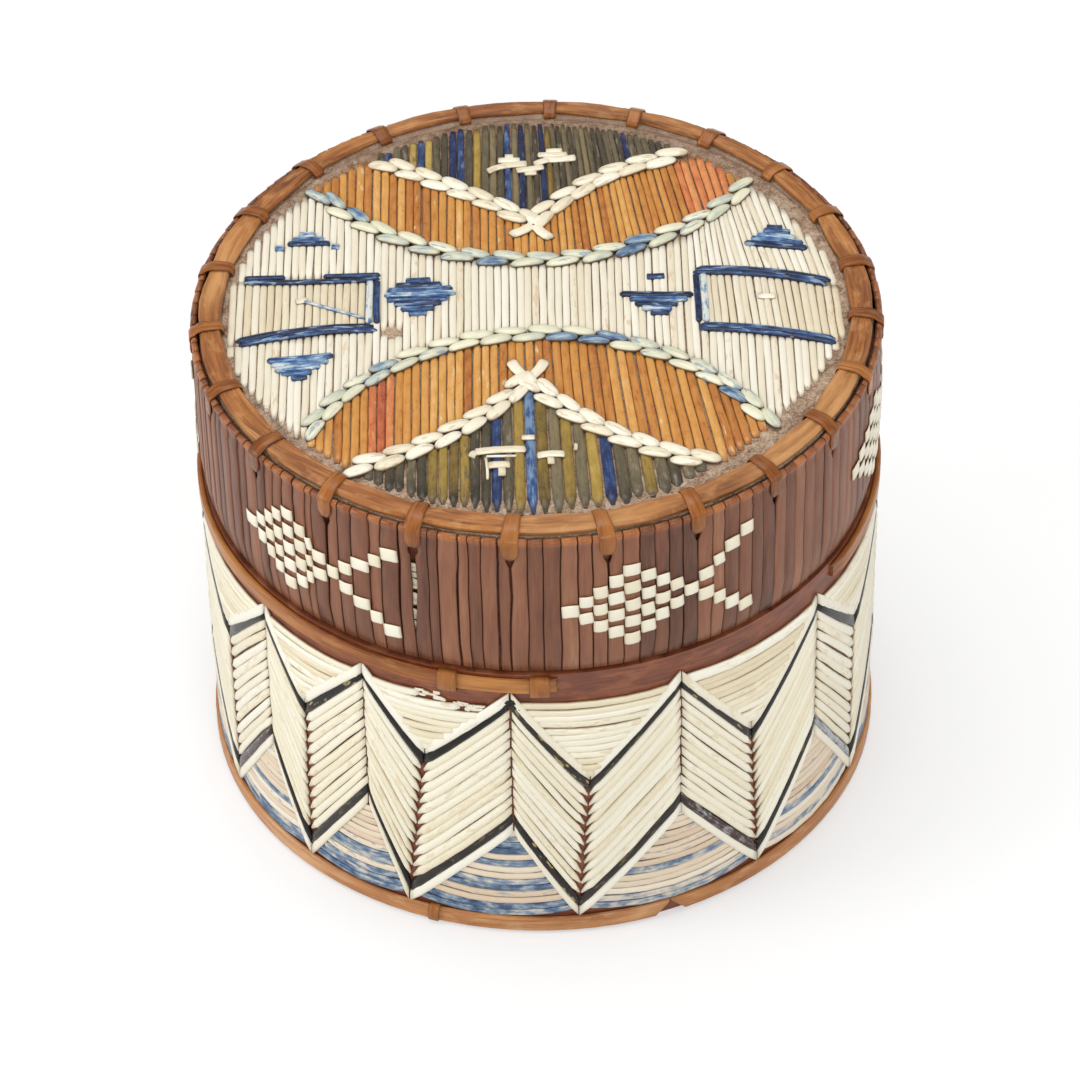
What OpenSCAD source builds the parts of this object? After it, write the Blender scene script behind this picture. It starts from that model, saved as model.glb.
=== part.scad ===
// Round bark box with a lift-off lid, covered with flattened quills and split root.
// The box stands on z = 0 around the Z axis, and its front faces -Y.
// Azimuths are in degrees from the front, growing towards the right (+X).
// All sizes are in millimetres.

/* [Box] */
// Outside radius of the bark wall, under its quills
wall_r = 67.9; // [62:0.1:80]
// Thickness of the quilled bark wall
wall_t = 1.8; // [1.2:0.1:2.4]
// Thickness of the plain bark strip that hides the quill ends inside the wall
backing_t = 1.4; // [1:0.1:2]
// Thickness of the inner liner, which rises above the rim as the neck
liner_t = 1.2; // [0.8:0.1:2]
// Height of the rim, where the lid sits down
rim_z = 70.5; // [66:0.5:80]
// Height of the neck above the rim
neck_rise = 21; // [10:1:25]
// Thickness of the base disc
base_t = 2.4; // [1.6:0.1:4]

/* [Hoops] */
// Thickness of the splint hoops round the rim and the base
hoop_t = 1.3; // [0.8:0.1:1.6]
// Height of the base hoop
base_hoop_h = 3.6; // [3:0.1:6]
// Height of the bark that shows below the base hoop
base_hoop_z = 0.3; // [0.3:0.1:2]
// Height of the rim hoop
rim_hoop_h = 3.7; // [3:0.1:6]
// Distance from the top of the rim hoop up to the rim
rim_hoop_drop = 0.6; // [0.6:0.1:1]
// Azimuth where the broken rim hoop starts, at its right end
rim_hoop_start = 57; // [40:1:80]
// Azimuth where the rim hoop ends, at its front end
rim_hoop_end = 2; // [-10:1:20]
// Azimuth of the scarf joint in the base hoop
scarf_azimuth = 21; // [0:1:60]
// Width of the opening under the scarf joint
scarf_w = 7; // [3:0.5:10]

/* [Lid] */
// Height from the lower edge of the lid to the top of its bark disc
lid_h = 34.2; // [34:0.2:45]
// Gap between the lower edge of the lid and the rim
lid_seat_gap = 0.3; // [0.3:0.05:0.6]
// Clearance between the neck and the lining of the lid
neck_clearance = 0.35; // [0.3:0.05:0.6]
// Thickness of the bark strip that lines the lid ring
ring_lining_t = 0.7; // [0.5:0.1:1.2]
// Thickness of the bark ring of the lid
ring_t = 1; // [0.8:0.1:1.6]
// Thickness of the quilled bark disc
disc_t = 1.6; // [1.2:0.1:2.4]
// Thickness of the disc that lines the top of the lid
disc_lining_t = 1.2; // [0.8:0.1:2]
// Width of the flat hoop on top of the lid
lid_hoop_w = 4.8; // [3:0.1:6]
// Thickness of that hoop
lid_hoop_t = 1.9; // [1.2:0.1:3]

/* [Root strips and lashings] */
// Number of fish worked round the side of the lid
fish_count = 6; // [3:1:7]
// Number of root strips from one fish to the next
strips_per_fish = 24; // [20:1:28]
// Thickness of the root strips
root_t = 1.7; // [1.2:0.1:2.2]
// Thickness of the strips at their lower edge
root_edge_t = 0.7; // [0.5:0.1:1]
// Number of root lashings round the lid hoop
lashing_count = 23; // [12:1:30]
// Width of a lashing
lashing_w = 2.8; // [2:0.1:3.5]
// Thickness of a lashing
lashing_t = 0.6; // [0.4:0.05:0.8]

/* [Quills] */
// Distance between neighbouring quills on the lid
lid_quill_pitch = 1.9; // [1.6:0.05:2.4]
// Height that a flattened quill stands above the bark
quill_h = 1.05; // [0.8:0.05:1.2]
// Gap between neighbouring quills
quill_gap = 0.16; // [0.12:0.02:0.3]
// Distance between the level quills in the triangles of the wall
level_pitch = 1.72; // [1.5:0.02:2.2]
// Number of pale quills stacked in one arm of a chevron
chevron_quills = 11; // [8:1:13]
// Height of the points of the zigzag, from the upper to the lower dark quill
chevron_point_h = 31.5; // [28:0.5:35]
// Depth of the upper zigzag from its points to its valleys
zigzag_depth = 18.2; // [14:0.1:22]

/* [Hidden] */
$fn = 64;
// Contact gap that keeps neighbouring pieces of one body from sharing a face
seat = 0.03;
// Overlap that lets a cutting or trimming shape run past the piece it works on
past = 1;

// Radii of the box, from the outside in
backing_r = wall_r - wall_t;
neck_r = backing_r - backing_t;
liner_r = neck_r - liner_t;
hoop_r = wall_r + hoop_t;
quill_r = wall_r + seat;

// Radii of the lid, from the inside out
lining_r = neck_r + neck_clearance;
ring_in_r = lining_r + ring_lining_t;
ring_r = ring_in_r + ring_t;
root_in_r = ring_r + seat;
root_r = root_in_r + root_t;
disc_r = ring_r - seat * 10;

// Heights
neck_z = rim_z + neck_rise;
rim_hoop_z = rim_z - rim_hoop_drop - rim_hoop_h;
base_hoop_top = base_hoop_z + base_hoop_h;
lid_z = rim_z + lid_seat_gap;
lid_top_z = lid_z + lid_h;
ring_top_z = lid_top_z - disc_t;
field_z = lid_top_z + seat;
field_quill_h = quill_h * 0.78;
motif_z = field_z + field_quill_h + seat;

// Lid hoop, which reaches out to the ridge of the root strips
lid_hoop_r = ring_r;
lid_hoop_in_r = lid_hoop_r - lid_hoop_w;
lid_hoop_z = field_z;
lid_hoop_top = lid_hoop_z + lid_hoop_t;

// Root strips: a rounded ridge beside the lid hoop and a thin fold under the ring
strip_count = fish_count * strips_per_fish;
strip_angle = 360 / strip_count;
strip_gap_angle = strip_angle * 0.07;
ridge_r = root_t / 2;
ridge_rise = 0.2;
ridge_z = lid_top_z + ridge_rise;
taper_h = 6;
fold_t = 0.4;

// Fish: a lozenge of checks with a forked tail, head to the left
fish_half = 4;
tail_cols = 4;
check_pitch = 4.4;
check_h = 2.6;
check_t = 0.5;
tail_step = 2.45;
fish_head = 4.7;
fish_z = lid_z + lid_h * 0.483;

// Lashings stand closer together towards the back
first_lashing = -5;
lashing_crowding = 3;
lashing_drop = 5.3;
lashing_tip_w = 1.3;
rim_lashing_w = 3.9;
rim_lashings = [-15.6, -0.6];
base_lashing_azimuth = -19.4;
base_lashing_w = 2.2;

// Wall band: the points and valleys of the zigzag were set out by eye at the front, the rest are even
front_points = [-53, -31, -5.5, 23, 52.5];
// Each valley: azimuth, and how far it stands above the even ones
front_valleys = [[-44, 0], [-22, -0.4], [6.3, -4.9], [37.6, -4.3]];
front_blue_rows = [[0, 1, 5], [0, 1, 2, 4, 5], [0, 1, 4, 5, 8, 10, 11, 12], [0, 1, 5], [1, 4]];
back_points = 8;
point_count = len(front_points) + back_points;
band_gap = 0.3;
band_top = rim_hoop_z - lashing_t - band_gap;
band_bottom = base_hoop_top + lashing_t + band_gap;
upper_point_z = band_top - 2.1;
upper_valley_z = upper_point_z - zigzag_depth;
triangle_top = upper_point_z + 0.5;
lower_point_z = upper_point_z - chevron_point_h;
lower_valley_z = band_bottom + 2.8;
quill_steps = chevron_quills + 1;
point_pitch = chevron_point_h / quill_steps;
line_gap_z = quill_gap * 1.6;
point_inset = 0.15;
valley_inset = 0.6;
tip_len = 2.2;
tip_half = 0.35;
level_quill_h = quill_h * 0.74;
least_level_w = 2.2;

// Lid field: two hollow arcs, two V lines and the round edge divide the quills
field_edge = 2.15;
field_r = lid_hoop_in_r - field_edge;
// The design of the lid is set out in sixtieths of that radius
unit = field_r / 60;
lid_quill_w = lid_quill_pitch - quill_gap;
column_count = 2 * floor(field_r / lid_quill_pitch) + 1;
least_quill = 2;
braid_half_w = 0.7;
// Each arc: side, nearest distance from the middle, rise from there to its ends
upper_arc = [1, 15.2 * unit, 26.7 * unit];
lower_arc = [-1, 8 * unit, 32 * unit];
arc_reach = 46 * unit;
// Each V: side, apex [x, y], then [start angle, bend radius] of its left and right legs
upper_v = [1, [0, 27] * unit, [39, 200 * unit], [45, 160 * unit]];
lower_v = [-1, [-1.8, -21.4] * unit, [50, 100 * unit], [50, 130 * unit]];
stitch_pitch = 5.9;
stitch_len = 5.3;
stitch_w = 1.95;
stitch_h = 0.95;
stitch_side = 1.24;
stitch_lean = 0.25;
first_stitch = 3.4;
braid_r = lid_hoop_in_r - lashing_t - stitch_pitch / 4 - stitch_len / 2 - seat;
red_upper = [28.5, 37] * unit;
red_lower = [-33.5, -28] * unit;

// Motif strokes on the lid
stroke_w = 1.25;
stroke_pitch = 1.45;
stroke_h = 0.6;
tail_len = 6.5;

// Helpers that place shapes round the axis
function between(a, b, t) = a + (b - a) * t;

module tube(inner, outer, bottom, top) {
    rotate_extrude($fn = 180)
        translate([inner, bottom])
            square([outer - inner, top - bottom]);
}

// Turns a profile drawn in radius and height through an arc of azimuth
module sweep(from, to) {
    rotate([0, 0, from - 90])
        rotate_extrude(angle = to - from, $fn = 180)
            children();
}

// Pushes an outline, drawn along the wall and in height, outwards from one radius to another
module outwards(azimuth, inner, outer) {
    rotate([0, 0, azimuth])
        translate([0, -inner, 0])
            rotate([90, 0, 0])
                linear_extrude(outer - inner)
                    children();
}

// Pushes a profile, drawn in radius and height, sideways to a width
module across(azimuth, width) {
    rotate([0, 0, azimuth - 90])
        translate([0, width / 2, 0])
            rotate([90, 0, 0])
                linear_extrude(width)
                    children();
}

// Splint section with its two outer edges rounded
module splint_section(inner, bottom, thick, tall, round_r) {
    translate([inner, bottom])
        square([thick - round_r, tall]);
    translate([inner, bottom + round_r])
        square([thick, tall - 2 * round_r]);
    for (z = [bottom + round_r, bottom + tall - round_r])
        translate([inner + thick - round_r, z])
            circle(round_r);
}

// Splint section with its two outer edges cut off flat
module bevelled_section(inner, bottom, thick, tall, bevel) {
    polygon([[inner, bottom], [inner + thick - bevel, bottom], [inner + thick, bottom + bevel],
             [inner + thick, bottom + tall - bevel], [inner + thick - bevel, bottom + tall],
             [inner, bottom + tall]]);
}

// Box of bark
module base_disc() {
    color("peru")
        cylinder(r = neck_r - seat, h = base_t, $fn = 180);
}

module body_wall() {
    color("saddlebrown")
        tube(backing_r, wall_r, 0, rim_z);
}

module wall_backing() {
    color("sienna")
        tube(neck_r + seat, backing_r - seat, 0, rim_z - seat);
}

module neck_liner() {
    color("peru")
        tube(liner_r, neck_r - seat, base_t + seat, neck_z);
}

// Hoops and lashings of the box
module base_hoop() {
    color("peru")
        difference() {
            rotate_extrude($fn = 180)
                bevelled_section(quill_r, base_hoop_z, hoop_t, base_hoop_h, hoop_t * 0.4);
            outwards(scarf_azimuth, wall_r - past, hoop_r + past)
                polygon([[-scarf_w / 2, base_hoop_z - past], [scarf_w / 2, base_hoop_z - past],
                         [quill_gap, base_hoop_top + past], [-quill_gap, base_hoop_top + past]]);
        }
}

module rim_hoop() {
    color("chocolate")
        sweep(rim_hoop_start, rim_hoop_end + 360)
            splint_section(quill_r, rim_hoop_z, hoop_t, rim_hoop_h, hoop_t * 0.4);
}

// Strap round three sides of a hoop, with its ends at the wall
module hoop_strap(azimuth, bottom, tall, width) {
    strap_r = hoop_r + 2 * seat;
    across(azimuth, width)
        difference() {
            translate([quill_r, bottom - lashing_t])
                square([strap_r + lashing_t - quill_r, tall + 2 * lashing_t]);
            translate([quill_r - past, bottom - seat])
                square([strap_r + past - quill_r, tall + 2 * seat]);
        }
}

module rim_lashings() {
    color("chocolate")
        for (azimuth = rim_lashings)
            hoop_strap(azimuth, rim_hoop_z, rim_hoop_h, rim_lashing_w);
}

module base_lashing() {
    color("peru")
        intersection() {
            hoop_strap(base_lashing_azimuth, base_hoop_z, base_hoop_h, base_lashing_w);
            translate([0, 0, base_hoop_z])
                cylinder(r = hoop_r + 2 * past, h = base_hoop_h + 2 * past, $fn = 180);
        }
}

// Zigzag of the wall
function point_azimuth(k) =
    k < 0 ? point_azimuth(k + point_count) - 360 :
    k < len(front_points) ? front_points[k] :
    between(front_points[len(front_points) - 1], front_points[0] + 360,
            (k - len(front_points) + 1) / (back_points + 1));
function valley_azimuth(k) =
    k >= 0 && k < len(front_valleys) ? front_valleys[k][0] : (point_azimuth(k) + point_azimuth(k + 1)) / 2;
function valley_top(k) =
    upper_valley_z + (k >= 0 && k < len(front_valleys) ? front_valleys[k][1] : 0);
function valley_pitch(k) = (valley_top(k) - lower_valley_z) / quill_steps;
function point_height(line) = between(upper_point_z, lower_point_z, line / quill_steps);
function valley_height(k, line) = between(valley_top(k), lower_valley_z, line / quill_steps);

// Outline of one slanting quill: from the zigzag point, at the side given, to its valley
module slant_outline(valley, line, run, side) {
    first = point_inset;
    last = run - valley_inset;
    fall = (valley_height(valley, line) - point_height(line)) / run;
    point_half = (point_pitch - line_gap_z) / 2;
    valley_half = (valley_pitch(valley) - line_gap_z) / 2;
    narrow = last - tip_len;
    narrow_half = between(point_half, valley_half, narrow / run);
    polygon([
        [side * first, point_height(line) + fall * first + point_half],
        [side * narrow, point_height(line) + fall * narrow + narrow_half],
        [side * last, point_height(line) + fall * last + tip_half],
        [side * last, point_height(line) + fall * last - tip_half],
        [side * narrow, point_height(line) + fall * narrow - narrow_half],
        [side * first, point_height(line) + fall * first - point_half]
    ]);
}

// One arm of a chevron, laid against the round wall
module chevron_arm(k, side, lines) {
    valley = side > 0 ? k : k - 1;
    from = point_azimuth(k);
    to = valley_azimuth(valley);
    middle = (from + to) / 2;
    half_run = wall_r * sin(abs(to - from) / 2);
    intersection() {
        sweep(min(from, to), max(from, to))
            translate([quill_r, band_bottom])
                square([quill_h, band_top - band_bottom]);
        outwards(middle, wall_r - past, quill_r + quill_h + past)
            translate([-side * half_run, 0])
                for (line = lines)
                    slant_outline(valley, line, 2 * half_run, side);
    }
}

module chevron_arms(sides, lines) {
    for (k = [0 : point_count - 1], side = sides)
        chevron_arm(k, side, lines);
}

module chevron_falling_quills() {
    color("cornsilk")
        chevron_arms([1], [1 : chevron_quills]);
}

module chevron_rising_quills() {
    color("antiquewhite")
        chevron_arms([-1], [1 : chevron_quills]);
}

module upper_dark_quills() {
    color("dimgray")
        chevron_arms([-1, 1], [0]);
}

module lower_dark_quills() {
    color("darkslategray")
        chevron_arms([-1, 1], [quill_steps]);
}

module upper_outline_quills() {
    color("ivory")
        chevron_arms([-1, 1], [-1]);
}

module lower_outline_quills() {
    color("ivory")
        chevron_arms([-1, 1], [quill_steps + 1]);
}

// Domed section of a flattened quill that stands on the line y = 0
module dome_section(width, tall) {
    dome = (width * width / 4 + tall * tall) / (2 * tall);
    difference() {
        translate([0, tall - dome])
            circle(dome, $fn = 32);
        translate([-2 * dome, -4 * dome])
            square(4 * dome);
    }
}

// Level quills in the triangles above and below the zigzags
module level_quill(from, to, z) {
    if ((to - from) * PI / 180 * wall_r > least_level_w)
        sweep(from, to)
            translate([quill_r, z])
                rotate(-90)
                    dome_section(level_pitch - quill_gap, level_quill_h);
}

// Share of the way from a point to a valley at which a line of the zigzag has a height
function line_share(valley, line, z) =
    (point_height(line) - z) / (point_height(line) - valley_height(valley, line));

module triangle_quills() {
    edge_line = -1.7;
    color("cornsilk")
        for (k = [0 : point_count - 1])
            for (z = [triangle_top - level_pitch / 2 : -level_pitch : valley_top(k)]) {
                share = max(0, line_share(k, edge_line, z - level_pitch / 2));
                left = between(point_azimuth(k), valley_azimuth(k), share);
                right = between(point_azimuth(k + 1), valley_azimuth(k), share);
                level_quill(left + point_inset, right - point_inset, z);
            }
}

// Blue rows from the base up: set out by eye in the front fans, and in a repeat round the back
function fan_is_blue(k, row) =
    k < len(front_blue_rows) ? len(search(row, front_blue_rows[k])) > 0 :
    row < 2 || row == 5 || (row + 2 * k) % 7 == 1;

module fan_quills(blue) {
    edge_line = quill_steps + 1.7;
    rows = floor((lower_point_z - band_bottom) / level_pitch);
    for (k = [0 : point_count - 1], row = [0 : rows - 1])
        if (fan_is_blue(k, row) == blue) {
            z = band_bottom + (row + 0.5) * level_pitch;
            top = z + level_pitch / 2;
            left = between(point_azimuth(k), valley_azimuth(k - 1), min(1, line_share(k - 1, edge_line, top)));
            right = between(point_azimuth(k), valley_azimuth(k), min(1, line_share(k, edge_line, top)));
            level_quill(left + point_inset, right - point_inset, z);
        }
}

module fan_cream_quills() {
    color("wheat")
        fan_quills(false);
}

module fan_blue_quills() {
    color("steelblue")
        fan_quills(true);
}

// Bark of the lid
module lid_disc() {
    color("rosybrown")
        translate([0, 0, ring_top_z])
            cylinder(r = disc_r, h = disc_t, $fn = 180);
}

module lid_disc_lining() {
    color("peru")
        translate([0, 0, ring_top_z - disc_lining_t - seat])
            cylinder(r = lining_r - seat, h = disc_lining_t, $fn = 180);
}

module lid_ring() {
    color("saddlebrown")
        tube(ring_in_r, ring_r, lid_z + fold_t + seat, ring_top_z - seat);
}

module lid_ring_lining() {
    color("peru")
        tube(lining_r, ring_in_r - seat, lid_z + fold_t, ring_top_z - seat);
}

// Root strip: outer face, rounded ridge on top and a thin fold under the ring
module strip_section() {
    polygon([[root_in_r, lid_z], [root_in_r + root_edge_t, lid_z],
             [root_r, lid_z + taper_h], [root_r, ridge_z], [root_in_r, ridge_z]]);
    translate([root_in_r + ridge_r, ridge_z])
        circle(ridge_r);
    translate([ring_in_r, lid_z])
        square([root_in_r - ring_in_r + seat, fold_t]);
}

// Azimuth of the left edge of a strip: the first one carries the head of a fish
function strip_edge(i) = fish_head + (i - 0.5) * strip_angle;

module root_strips() {
    color("sienna")
        for (i = [0 : strip_count - 1])
            sweep(strip_edge(i) + strip_gap_angle / 2, strip_edge(i + 1) - strip_gap_angle / 2)
                strip_section();
}

// One white check of quill over a root strip
module check(column, rise) {
    middle = fish_head + column * strip_angle;
    half = (strip_angle - strip_gap_angle) / 2;
    sweep(middle - half, middle + half)
        translate([root_r + seat, fish_z + rise - check_h / 2])
            square([check_t, check_h]);
}

module fish() {
    for (column = [0 : 2 * fish_half]) {
        rows = fish_half + 1 - abs(column - fish_half);
        for (row = [0 : rows - 1])
            check(column, (row - (rows - 1) / 2) * check_pitch);
    }
    for (step = [1 : tail_cols], side = [-1, 1])
        check(2 * fish_half + step, side * step * tail_step);
}

module fish_quills() {
    color("ivory")
        for (i = [0 : fish_count - 1])
            rotate([0, 0, i * 360 / fish_count])
                fish();
}

// Hoop on the lid, rounded along both top edges
module lid_hoop_section() {
    round_r = lid_hoop_t * 0.45;
    translate([lid_hoop_in_r, lid_hoop_z])
        square([lid_hoop_w, lid_hoop_t - round_r]);
    translate([lid_hoop_in_r + round_r, lid_hoop_z])
        square([lid_hoop_w - 2 * round_r, lid_hoop_t]);
    for (r = [lid_hoop_in_r + round_r, lid_hoop_r - round_r])
        translate([r, lid_hoop_top - round_r])
            circle(round_r);
}

module lid_hoop() {
    color("chocolate")
        rotate_extrude($fn = 180)
            lid_hoop_section();
}

// Strap of a lashing: from the disc over the hoop and the ridge down the side
module lashing_section() {
    inner = lid_hoop_in_r - seat;
    over = lid_hoop_top + seat;
    outer = lid_hoop_r + seat;
    shoulder = ridge_z + ridge_r + seat;
    side = root_r + seat;
    bottom = ridge_z - lashing_drop - past;
    polygon([
        [inner - lashing_t, field_z], [inner, field_z], [inner, over], [outer, over],
        [outer, shoulder], [side, shoulder], [side, bottom], [side + lashing_t, bottom],
        [side + lashing_t, shoulder], [outer + lashing_t, over + lashing_t],
        [inner, over + lashing_t], [inner - lashing_t, over + lashing_t * 0.6]
    ]);
}

// Outline of a lashing from the front: a tongue that narrows down to the hole in the side
module lashing_outline() {
    top = lid_hoop_top + lashing_t + past;
    polygon([[-lashing_w / 2, top], [-lashing_w / 2, ridge_z],
             [-lashing_tip_w / 2, ridge_z - lashing_drop], [lashing_tip_w / 2, ridge_z - lashing_drop],
             [lashing_w / 2, ridge_z], [lashing_w / 2, top]]);
}

function lashing_azimuth(i) =
    let (even = first_lashing + i * 360 / lashing_count)
    even - lashing_crowding * (1 - cos(even));

module lid_lashings() {
    color("chocolate")
        for (i = [0 : lashing_count - 1])
            intersection() {
                across(lashing_azimuth(i), lashing_w + past)
                    lashing_section();
                outwards(lashing_azimuth(i), lid_hoop_in_r - lashing_w, root_r + lashing_w)
                    lashing_outline();
            }
}

// Lines that divide the quills of the lid
function arc_radius(arc) = (arc_reach * arc_reach + arc[2] * arc[2]) / (2 * arc[2]);
function arc_y(arc, x) =
    let (radius = arc_radius(arc))
    arc[0] * (arc[1] + radius - sqrt(max(0, radius * radius - x * x)));
function leg_shape(v, x) = x < v[1][0] ? v[2] : v[3];
function leg_turn(leg, dx) = asin(max(0, sin(leg[0]) - dx / leg[1]));
function leg_rise(leg, dx) = leg[1] * (cos(leg_turn(leg, dx)) - cos(leg[0]));
function v_y(v, x) = v[1][1] + v[0] * leg_rise(leg_shape(v, x), abs(x - v[1][0]));
function edge_y(x) = sqrt(max(0, field_r * field_r - x * x));
function column_x(i) = (i - (column_count - 1) / 2) * lid_quill_pitch;

module field_quill(x, from, to) {
    if (to - from > least_quill)
        translate([x, to, field_z])
            rotate([90, 0, 0])
                linear_extrude(to - from)
                    dome_section(lid_quill_w, field_quill_h);
}

// Quill between two lines on the side given, clear of the braids and the edge
module side_quill(side, x, near, far) {
    start = side * near + braid_half_w;
    end = min(edge_y(x), side * far);
    if (side > 0)
        field_quill(x, start, end);
    else
        field_quill(x, -end, -start);
}

module cream_field_quills() {
    color("cornsilk")
        for (i = [0 : column_count - 1]) {
            x = column_x(i);
            top = min(edge_y(x), arc_y(upper_arc, x) - braid_half_w);
            bottom = max(-edge_y(x), arc_y(lower_arc, x) + braid_half_w);
            field_quill(x, bottom, top);
        }
}

function is_red(side, x) =
    side > 0 ? x > red_upper[0] && x < red_upper[1] : x > red_lower[0] && x < red_lower[1];

module warm_quills(red) {
    for (i = [0 : column_count - 1], half = [[upper_arc, upper_v], [lower_arc, lower_v]]) {
        x = column_x(i);
        side = half[0][0];
        if (abs(x) < arc_reach && is_red(side, x) == red)
            side_quill(side, x, arc_y(half[0], x), v_y(half[1], x) - side * braid_half_w);
    }
}

module orange_field_quills() {
    color("darkorange")
        warm_quills(false);
}

module red_field_quills() {
    color("orangered")
        warm_quills(true);
}

// Dye of a column in the dark fields: 0 olive, 1 ochre, 2 blue
function dark_dye(i) = i % 7 == 3 ? 2 : i % 5 == 1 ? 1 : 0;

module dark_quills(dye) {
    for (i = [0 : column_count - 1], v = [upper_v, lower_v])
        if (dark_dye(i) == dye)
            side_quill(v[0], column_x(i), v_y(v, column_x(i)), v[0] * field_r);
}

module olive_field_quills() {
    color("darkolivegreen")
        dark_quills(0);
}

module ochre_field_quills() {
    color("darkgoldenrod")
        dark_quills(1);
}

module blue_field_quills() {
    color("midnightblue")
        dark_quills(2);
}

// Flat stroke of quill with round ends, lying on the quills of the lid
module stroke(from, to, width, bottom, thick) {
    run = to - from;
    length = norm(run);
    translate([from[0], from[1], bottom])
        rotate([0, 0, atan2(run[1], run[0])])
            linear_extrude(thick) {
                translate([0, -width / 2])
                    square([length, width]);
                circle(width / 2);
                translate([length, 0])
                    circle(width / 2);
            }
}

module flat_stroke(from, to) {
    stroke(from, to, stroke_w, motif_z, stroke_h);
}

// Pair of braid stitches over the quill ends, side by side and leaning off the line of the braid
module stitch_pair(at, heading) {
    core = (stitch_len - stitch_w) / 2;
    if (norm(at) < braid_r)
        for (side = [-1, 1])
            translate([at[0], at[1], 0])
                rotate([0, 0, heading])
                    translate([side * stitch_pitch / 4, side * stitch_side, 0])
                        rotate([0, 0, -heading * stitch_lean])
                            stroke([-core, 0], [core, 0], stitch_w, motif_z, stitch_h);
}

module arc_braid(arc) {
    radius = arc_radius(arc);
    half_angle = asin(arc_reach / radius);
    count = floor(half_angle * PI / 180 * radius / stitch_pitch);
    step = half_angle / count;
    for (i = [-count : count]) {
        turn = i * step;
        y = arc[0] * (arc[1] + radius * (1 - cos(turn)));
        stitch_pair([radius * sin(turn), y], arc[0] * turn);
    }
}

module upper_arc_braid() {
    color("lightgoldenrodyellow")
        arc_braid(upper_arc);
}

module lower_arc_braid() {
    color("palegoldenrod")
        arc_braid(lower_arc);
}

// Two legs of stitches from the apex outwards, and two loose ends beyond the apex
module v_braid(v) {
    for (leg_side = [-1, 1]) {
        leg = leg_side < 0 ? v[2] : v[3];
        for (i = [0 : floor(field_r / stitch_pitch)]) {
            turn = leg[0] - (first_stitch + i * stitch_pitch) / leg[1] * 180 / PI;
            dx = leg[1] * (sin(leg[0]) - sin(turn));
            at = [v[1][0] + leg_side * dx, v[1][1] + v[0] * leg_rise(leg, dx)];
            stitch_pair(at, leg_side * v[0] * turn);
        }
        tail = [leg_side * cos(leg[0]), -v[0] * sin(leg[0])];
        flat_stroke(v[1] + tail * stroke_w, v[1] + tail * tail_len);
    }
}

module upper_v_braid() {
    color("ivory")
        v_braid(upper_v);
}

module lower_v_braid() {
    color("ivory")
        v_braid(lower_v);
}

// Open frames of blue quill at both sides: double rails and an upright
module frame(upper, lower) {
    for (rail = [upper, lower], strand = [0, 1])
        flat_stroke(rail[0] + [0, strand * stroke_pitch], rail[1] + [0, strand * stroke_pitch]);
    foot = lower[0] + [0, stroke_pitch + 2 * stroke_w];
    head = upper[0] - [0, 2 * stroke_w];
    flat_stroke([foot[0], foot[1]], [head[0], head[1]]);
}

module blue_frame_quills() {
    color("navy") {
        frame([[-31.5, 10.3], [-58, 10.3]] * unit, [[-31.5, -6.2], [-57.5, -8.4]] * unit);
        frame([[31.7, 10.8], [58, 5.8]] * unit, [[32, -7.6], [57.5, -12.5]] * unit);
    }
}

// Steps of level strokes, each wider or narrower than the last, set out in units of the lid
module steps(middle, widths) {
    for (i = [0 : len(widths) - 1]) {
        half = [widths[i] / 2, 0] * unit;
        row = middle * unit + [0, i * stroke_pitch];
        flat_stroke(row - half, row + half);
    }
}

module blue_pyramid_quills() {
    color("mediumblue") {
        steps([-45.6, 22], [9, 5.5]);
        steps([-46.5, -18.2], [2, 5, 8.5, 12]);
        steps([48.8, 18.8], [12, 8.5, 5, 2]);
    }
}

module blue_diamond_quills() {
    color("mediumblue") {
        steps([-23.2, 0], [4, 8, 12, 12, 8, 4]);
        steps([23.6, -1.2], [3, 5.5, 8, 10.5, 13]);
        steps([24, 9.6], [1.2]);
    }
}

module white_figure_quills() {
    color("white") {
        steps([-5.8, 46.4], [3, 7, 3]);
        steps([5, 49.8], [6, 3]);
        steps([-7.6, -42.6], [10]);
        steps([-8, -45.8], [4]);
        steps([-1, -38.4], [2.4]);
        steps([2.8, -43.6], [4.4]);
    }
}

base_disc();
body_wall();
wall_backing();
neck_liner();
base_hoop();
base_lashing();
rim_hoop();
rim_lashings();
triangle_quills();
upper_outline_quills();
upper_dark_quills();
chevron_falling_quills();
chevron_rising_quills();
lower_dark_quills();
lower_outline_quills();
fan_cream_quills();
fan_blue_quills();
lid_disc();
lid_disc_lining();
lid_ring();
lid_ring_lining();
root_strips();
fish_quills();
lid_hoop();
lid_lashings();
cream_field_quills();
orange_field_quills();
red_field_quills();
olive_field_quills();
ochre_field_quills();
blue_field_quills();
upper_arc_braid();
lower_arc_braid();
upper_v_braid();
lower_v_braid();
blue_frame_quills();
blue_pyramid_quills();
blue_diamond_quills();
white_figure_quills();
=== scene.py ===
import math
import random

import bmesh
import bpy
from mathutils import Matrix, Vector, noise


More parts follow.
